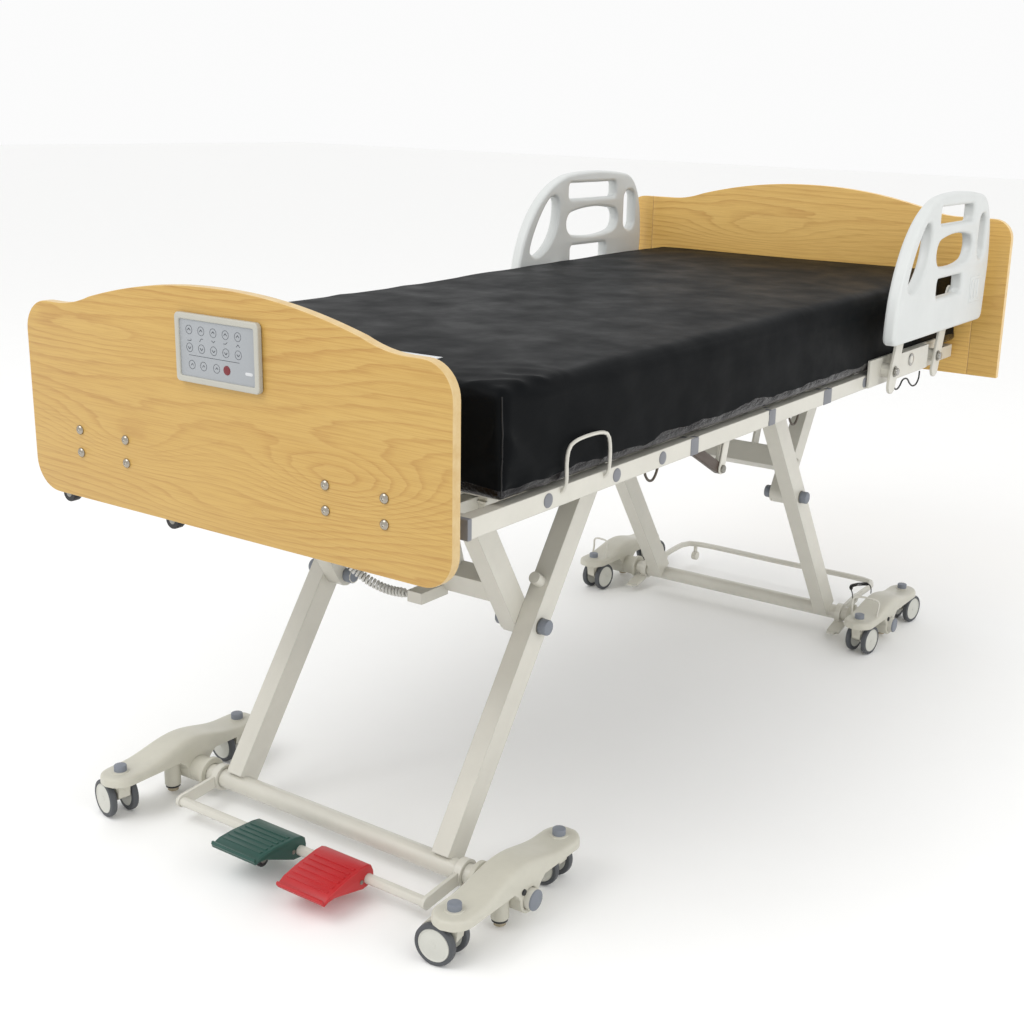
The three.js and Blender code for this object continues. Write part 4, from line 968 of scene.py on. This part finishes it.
def guard(side, s, stem_y, body):
    """The thin wire that arches over a pod's inner end."""
    inner, outer, y, z = s * 379, s * 439, stem_y + 22, POD_HIGH
    points = [(inner, y, z - 2), (inner, y - 2, z + 22), (inner, y + 4, z + 42),
              (inner + s * 12, y + 12, z + 46), (outer - s * 12, y + 22, z + 44),
              (outer, y + 28, z + 36), (outer, y + 26, z + 14), (outer, y + 20, z - 2)]
    strand(f"pod_guard_{side}", route(points, 0.003), 2.6, CREAM, body, 4)


# ---------- casters ----------
CASTERS = {
    "foot_right_outer": ("foot", 1, -1, -83), "foot_right_inner": ("foot", 1, 1, -90),
    "foot_left_outer": ("foot", -1, -1, -103), "foot_left_inner": ("foot", -1, 1, -96),
    "head_right_inner": ("head", 1, -1, 172), "head_right_outer": ("head", 1, 1, 170),
    "head_left_inner": ("head", -1, -1, 174), "head_left_outer": ("head", -1, 1, 170),
}
TRAIL = 23
WHEEL_R = 37.5
TYRE_PROFILE = [(28, 1.0), (34.5, 0.6), (36.4, 1.4), (37.3, 3.2), (WHEEL_R, 7.0), (37.3, 10.8), (36.4, 12.7),
                (34.6, 13.7), (30.6, 13.9), (29.8, 13.0), (29.6, 2.0), (28, 1.0)]
DISC_PROFILE = [(0, 1.4), (29.7, 1.4), (29.7, 12.4), (28.8, 13.6), (27.4, 13.2), (26.2, 12.2), (12.5, 12.6),
                (11.6, 12.9), (10.6, 13.0), (0, 13.2)]


def casters():
    tyre, disc, cap = lathe(TYRE_PROFILE, 64), lathe(DISC_PROFILE, 64), lathe(domed(5, 1.2, 0.6), 24)
    hood = hood_mesh()
    for name, (end, s, k, heading) in CASTERS.items():
        tube, _, shift = TUBES[end]
        stem = Matrix.Translation(Vector((s * POD_X, tube + shift + k * STEM_REACH, 0)) * MM)
        place = stem @ Matrix.Rotation(math.radians(heading), 4, "Z")
        axle = place @ Matrix.Translation(Vector((0, -TRAIL, WHEEL_R)) * MM)
        first = None
        for q, axis in ((1, "x"), (-1, "-x")):
            wheel = axle @ Matrix.Translation((q * 15 * MM, 0, 0)) @ AXES[axis]
            for part, mesh, look in (("tyre", tyre, TYRE), ("disc", disc, DISC)):
                data = mesh.copy()
                data.transform(wheel)
                obj = put(f"{part}_{name}_{q + 1}", data, look, f"wheels_{name}", angle=32)
                first = first or obj
            data = cap.copy()
            data.transform(wheel @ Matrix.Translation((0, 0, 12.6 * MM)))
            put(f"axle_cap_{name}_{q + 1}", data, DISC, f"wheels_{name}")
        data = lathe([(0, -18), (3.9, -18), (3.9, 18), (0, 18)], 20)
        data.transform(axle @ AXES["x"])
        put(f"axle_{name}", data, STEEL, f"wheels_{name}")
        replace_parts(first, f"caster_wheels_{name}")
        cover_mesh = hood.copy()
        cover_mesh.transform(place)
        put(f"caster_hood_{name}", cover_mesh, POD, f"caster_{name}", angle=40)


def hood_mesh():
    """The narrow arched web between the two wheels."""
    verts, faces = [], []
    steps, half, inner_r, outer_r = 22, 13.2, 30.5, 38
    for x in (-half, half):
        for i in range(steps + 1):
            a = math.radians(35 + 130 * i / steps)
            for r in (inner_r, outer_r):
                verts.append((x * MM, (r * math.cos(a) - TRAIL) * MM, (WHEEL_R + r * math.sin(a)) * MM))
    ring = 2 * (steps + 1)
    for i in range(steps):
        a = 2 * i
        faces.append((a, a + 2, a + 3, a + 1))
        faces.append((ring + a, ring + a + 1, ring + a + 3, ring + a + 2))
        faces.append((a + 1, a + 3, ring + a + 3, ring + a + 1))
        faces.append((a, ring + a, ring + a + 2, a + 2))
    faces.append((0, 1, ring + 1, ring))
    end = 2 * steps
    faces.append((end, ring + end, ring + end + 1, end + 1))
    return fixed_up(from_pydata("hood", verts, faces))


# ---------- pedals ----------
PEDAL_BAR = (-952, 42)
PEDAL_WIDTH = 112
PEDAL_PROFILE = [(-16, -10), (-17.5, 6), (-14, 19), (-6, 25), (10, 27.5), (60, 27.5), (92, 24.5), (104, 19),
                 (109.5, 14.5), (108, 11.5), (98, 13), (84, 12.5), (62, 4), (34, -7), (14, -15), (-4, -16)]
PEDAL_LIP = [(100, 15), (108, 13), (112, 19), (110.5, 24), (107.5, 24), (107, 19.5)]


def pedal(name, node, x0, tilt, material):
    """A moulded foot pedal: thick root round the bar, thin lip, raised ribs across the tread."""
    x1 = x0 + PEDAL_WIDTH
    along, up = math.cos(tilt), math.sin(tilt)

    def turn(s, z):
        return PEDAL_BAR[0] - (s * along - z * up), PEDAL_BAR[1] + s * up + z * along

    def bar(suffix, points, margin, bevel, resolution):
        outline = [turn(s, z) for s, z in points]
        return slab(name + suffix, [outline], x0 + margin, x1 - margin, "x", bevel, material, "pedal_bar",
                    resolution)

    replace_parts(bar("", PEDAL_PROFILE, 0, 3.0, 4), node)
    for i in range(6):
        s = 20 + i * 13.5
        base = 26.6 if s < 62 else 26.6 - (s - 62) * 0.11
        crest = base + 2.6
        bar(f"_rib_{i}", [(s - 4.2, base), (s + 4.2, base), (s + 3.0, crest), (s - 3.0, crest)], 9, 1.0, 3)
    bar("_lip", PEDAL_LIP, 2, 1.2, 3)
    for i, s in enumerate((-4, 16)):
        turned(f"{name}_screw_{i}", domed(4.2, 1.6, 0.7), (x1, *turn(s, 2)), "x", ZINC, "pedal_bar", 20)


def pedals():
    pedal("pedal_left", "pedal_green", -103, 0.06, GREEN)
    pedal("pedal_right", "pedal_red", 60, -0.14, RED)
    turned("pedal_roller", [(3, 0), (12, 0), (13, 1.4), (13, 10.6), (12, 12), (3, 12), (3, 0)],
           (-36, -1010, 37), "x", DARK, "pedal_bar")
    turned("pedal_roller_hub", domed(6, 13, 1), (-36, -1010, 37), "x", ZINC, "pedal_bar", 24)


# ---------- assist rails ----------
def panel_loops():
    """The panel's outline and its five openings."""
    outline = [(438, 851)] + trace((1004, 851), ((1022, 851), (1025, 872), 8))
    outline += trace((1035, 985), ((1034, 1060), (1022, 1168), (930, 1172), 20),
                     ((840, 1184), (720, 1184), (640, 1172), 16), ((500, 1140), (440, 1030), (421, 950), 24),
                     ((414, 915), (412, 890), (412, 872), 8), ((412, 851), (438, 851), 8))[:-1]
    wedge = trace((472, 976), ((464, 990), (516, 1080), (556, 1110), 16),
                  ((576, 1124), (600, 1118), (600, 1092), 8), ((600, 1032), (572, 992), (522, 970), 14),
                  ((500, 960), (482, 964), (472, 976), 8))[:-1]
    middle = trace((668, 1012), ((740, 1002), (820, 1002), (874, 1016), 12),
                   ((904, 1026), (906, 1062), (882, 1074), 10), ((810, 1088), (735, 1086), (664, 1072), 12),
                   ((632, 1062), (634, 1020), (668, 1012), 10))[:-1]
    slots = [rounded(*slot) for slot in ((650, 888, 1108, 1150, 12), (662, 842, 936, 982, 12),
                                         (936, 992, 1012, 1122, 24))]
    return [outline, wedge, middle] + slots


ARM_PIN_Z = 774
LATCH_FRAME = [rounded(902, 987, 900, 972, 7), rounded(905, 984, 903, 969, 5)[::-1]]
LATCH_PLATE = rounded(906, 983, 904, 968, 5)
ARM_BOSS = [(0, 0), (20, 0), (20, 12), (0, 12)]
ARM_WASHER = [(7.4, 0), (13, 0), (13, 1.6), (7.4, 1.6), (7.4, 0)]
LOCK_KNOB = [(0, 0), (15, 0), (15.5, 1), (15, 2.4), (10, 2.8), (9, 2.0), (0, 2.0)]


def assist_rails():
    loops = panel_loops()
    for side, s in SIDES:
        body, out = f"assist_panel_{side}", outward(s)
        shell = slab(f"assist_shell_{side}", loops, *span(s * 504, s * 535), "x", 9.0, PANEL, body, 5)
        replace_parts(shell, f"assist_panel_{side}")
        slab(f"latch_frame_{side}", LATCH_FRAME, *span(s * 535.5, s * 533.2), "x", 0.4, PANEL, body)
        slab(f"latch_plate_{side}", [LATCH_PLATE], *span(s * 532, s * 535.9), "x", 0.7, PANEL, body)
        for i in range(3):
            grip = rounded(914 + i * 22, 928 + i * 22, 912, 960, 5)
            slab(f"latch_grip_{side}_{i}", [grip], *span(s * 533, s * 537.2), "x", 1.0, PANEL, body)
        for where, y in (("front", 594), ("rear", 886)):
            turned(f"assist_boss_{where}_{side}", ARM_BOSS, (s * 493.3, y, 924), out, PANEL, body)
        for where, y in (("front", 545), ("rear", 837)):
            tag = f"{where}_{side}"
            turned(f"arm_pin_{tag}", domed(9, 4, 1), (s * 498, y, ARM_PIN_Z), out, STEEL, "back", 28)
            turned(f"arm_washer_{tag}", ARM_WASHER, (s * 493.3, y, ARM_PIN_Z), out, ZINC, "back", 28)
        turned(f"assist_knob_{side}", LOCK_KNOB, (s * 484, 671, 785), out, STEEL, "back", 32)


# ---------- deck trim ----------
def capsule(p, q, half, steps=8):
    """Outline of a straight bar with round ends."""
    tilt = math.degrees(math.atan2(q[1] - p[1], q[0] - p[0]))
    return arc(*q, half, tilt - 90, tilt + 90, steps) + arc(*p, half, tilt + 90, tilt + 270, steps)


def knee_lever(side, s):
    """The dark lever bar and the pale link that meet at a pin below the thigh section."""
    foot = (-224, 684)
    lever, link = capsule((-324, 738), foot, 10.6), capsule((-208, 742), foot, 11)
    slab(f"knee_lever_{side}", [lever], *span(s * 431.5, s * 443.5), "x", 2.2, BRONZE, "thigh")
    slab(f"knee_link_{side}", [link], *span(s * 443.7, s * 447.5), "x", 1.2, CREAM, "thigh")
    turned(f"knee_pin_{side}", domed(8, 5, 1.4), (s * 447.5, *foot), outward(s), ZINC, "thigh", 28)


RAIL_COLLARS = ((-355, 14.5, "thigh"), (-27, 14.5, "deck"), (250, 20.5, "back"))
PLUG = domed(12, 1.4, 0.8)
RAIL_PLUGS = ((-833, "calf"), (-628, "calf"), (-473, "calf"), (461, "back"))
STRAP_HOOKS = ((-498, "calf"), (97, "deck"))
HOOK_BEND = ((-24, 742), (-20, 731), (-8, 719), (6, 717), (18, 727), (24, 742))
ROLLER = [(6, 0), (14.5, 0), (15.4, 2), (15.4, 15), (14.5, 17), (6, 17), (6, 0)]


def deck_trim():
    for side, s in SIDES:
        for i, (y, half, body) in enumerate(RAIL_COLLARS):
            collar = rounded(y - half, y + half, 738, 770.5, 3)
            slab(f"rail_collar_{side}_{i}", [collar], *span(s * 427.5, s * 455.2), "x", 1.0, COLLAR, body)
        for i, (y, body) in enumerate(RAIL_PLUGS):
            turned(f"rail_plug_{side}_{i}", PLUG, (s * 454, y, 755), outward(s), COLLAR, body, 32)
        end = rounded(-1041, -1031, 738, 771.6, 2)
        slab(f"rail_end_{side}", [end], *span(s * 428, s * 455), "x", 1.0, COLLAR, "calf")
        knee_lever(side, s)
        for i, (y, body) in enumerate(STRAP_HOOKS):
            bend = [(s * 446, y + v, z) for v, z in HOOK_BEND]
            strand(f"strap_hook_{side}_{i}", route(bend, 0.003), 2.4, HOOK, body, 4)
    for i, x in enumerate((-420, -150)):
        turned(f"foot_roller_{i}", ROLLER, (x, -1070.5, 664), "y", DARK, "deck")
        turned(f"foot_roller_hub_{i}", domed(7, 18, 1), (x, -1053, 664), "-y", ZINC, "deck", 24)


# ---------- lift trim ----------
PIVOT_REACH, PIVOT_Z = 259.8, 428
PIVOT_WASHER = [(0, 0), (16, 0), (16, 2), (0, 2)]
PIVOT_CAP = [(0, 0), (11.6, 0), (12.2, 1), (12.2, 15), (11.2, 16.6), (9.0, 17.2), (0, 17.4)]
ACTUATOR_PINS = {"foot": (100, -667.3, -249.4), "head": (140, 634.3, 216.4)}
LUG_PIN_Z, ANCHOR_PIN_Z = 624, 704


def lift_trim():
    for end in ENDS:
        tube, away, _ = TUBES[end]
        y, leg = tube - away * PIVOT_REACH, f"leg_{end}"
        for side, s in SIDES:
            out, inward, tag = outward(s), outward(-s), f"{end}_{side}"
            leg_cap = [(r * 1.22, h * 1.07) for r, h in PIVOT_CAP]
            brace_cap = [(r * 1.28, h * 1.12) for r, h in PIVOT_CAP]
            turned(f"pivot_washer_{tag}", PIVOT_WASHER, (s * 277, y, PIVOT_Z), out, ZINC, leg)
            turned(f"pivot_cap_{tag}", leg_cap, (s * 277.5, y, PIVOT_Z), out, CAP, leg)
            turned(f"inner_cap_{tag}", brace_cap, (s * 201, y, PIVOT_Z), inward, CAP, f"brace_{end}")
            turned(f"tube_cap_{tag}", domed(18.6, 3.5, 1.6), (s * 456, tube, TUBE_Z), out, CAP, leg)
        x, lug_y, anchor_y = ACTUATOR_PINS[end]
        lug, anchor = (x - 30, lug_y, LUG_PIN_Z), (x - 20, anchor_y, ANCHOR_PIN_Z)
        turned(f"lug_pin_{end}", domed(7, 60, 1.5), lug, "x", ZINC, f"brace_{end}", 24)
        turned(f"anchor_pin_{end}", domed(7, 40, 1.5), anchor, "x", ZINC, "deck", 24)


dress_frames()
end_boards()
control_panel()
mattress()
pods()
casters()
pedals()
assist_rails()
deck_trim()
lift_trim()


def name_slots():
    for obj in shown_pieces():
        if obj.name not in NODES:
            look = obj.data.materials[0].name.split(".")[0]


name_slots()


# ---------- studio ----------
FLOOR_HALF = 30
WORLD_STRENGTH = 0.97
LIGHTS = (("key", (-1.2, -3.6, 4.4), 3.0, 85), ("side", (4.2, -0.6, 2.6), 2.4, 30))


def studio():
    corners = [(x * FLOOR_HALF, y * FLOOR_HALF, 0) for x, y in ((-1, -1), (1, -1), (1, 1), (-1, 1))]
    paint = plain("floor_paint", (280, 280, 279), 0.8, vary=0.004)
    put("studio_floor", from_pydata("studio_floor", corners, [(0, 1, 2, 3)]), paint)
    world = bpy.data.worlds.new("studio")
    bpy.context.scene.world = world
    world.use_nodes = True
    sky = world.node_tree.nodes["Background"]
    sky.inputs["Color"].default_value = (1, 1, 1, 1)
    sky.inputs["Strength"].default_value = WORLD_STRENGTH
    bpy.context.scene.view_settings.view_transform = "Standard"
    for name, at, size, power in LIGHTS:
        data = bpy.data.lights.new(name, "AREA")
        data.size = size
        data.energy = power
        light = bpy.data.objects.new(name, data)
        bpy.context.scene.collection.objects.link(light)
        light.location = at
        light.rotation_euler = (Vector((0, 0, 0.6)) - Vector(at)).to_track_quat("-Z", "Y").to_euler()


studio()
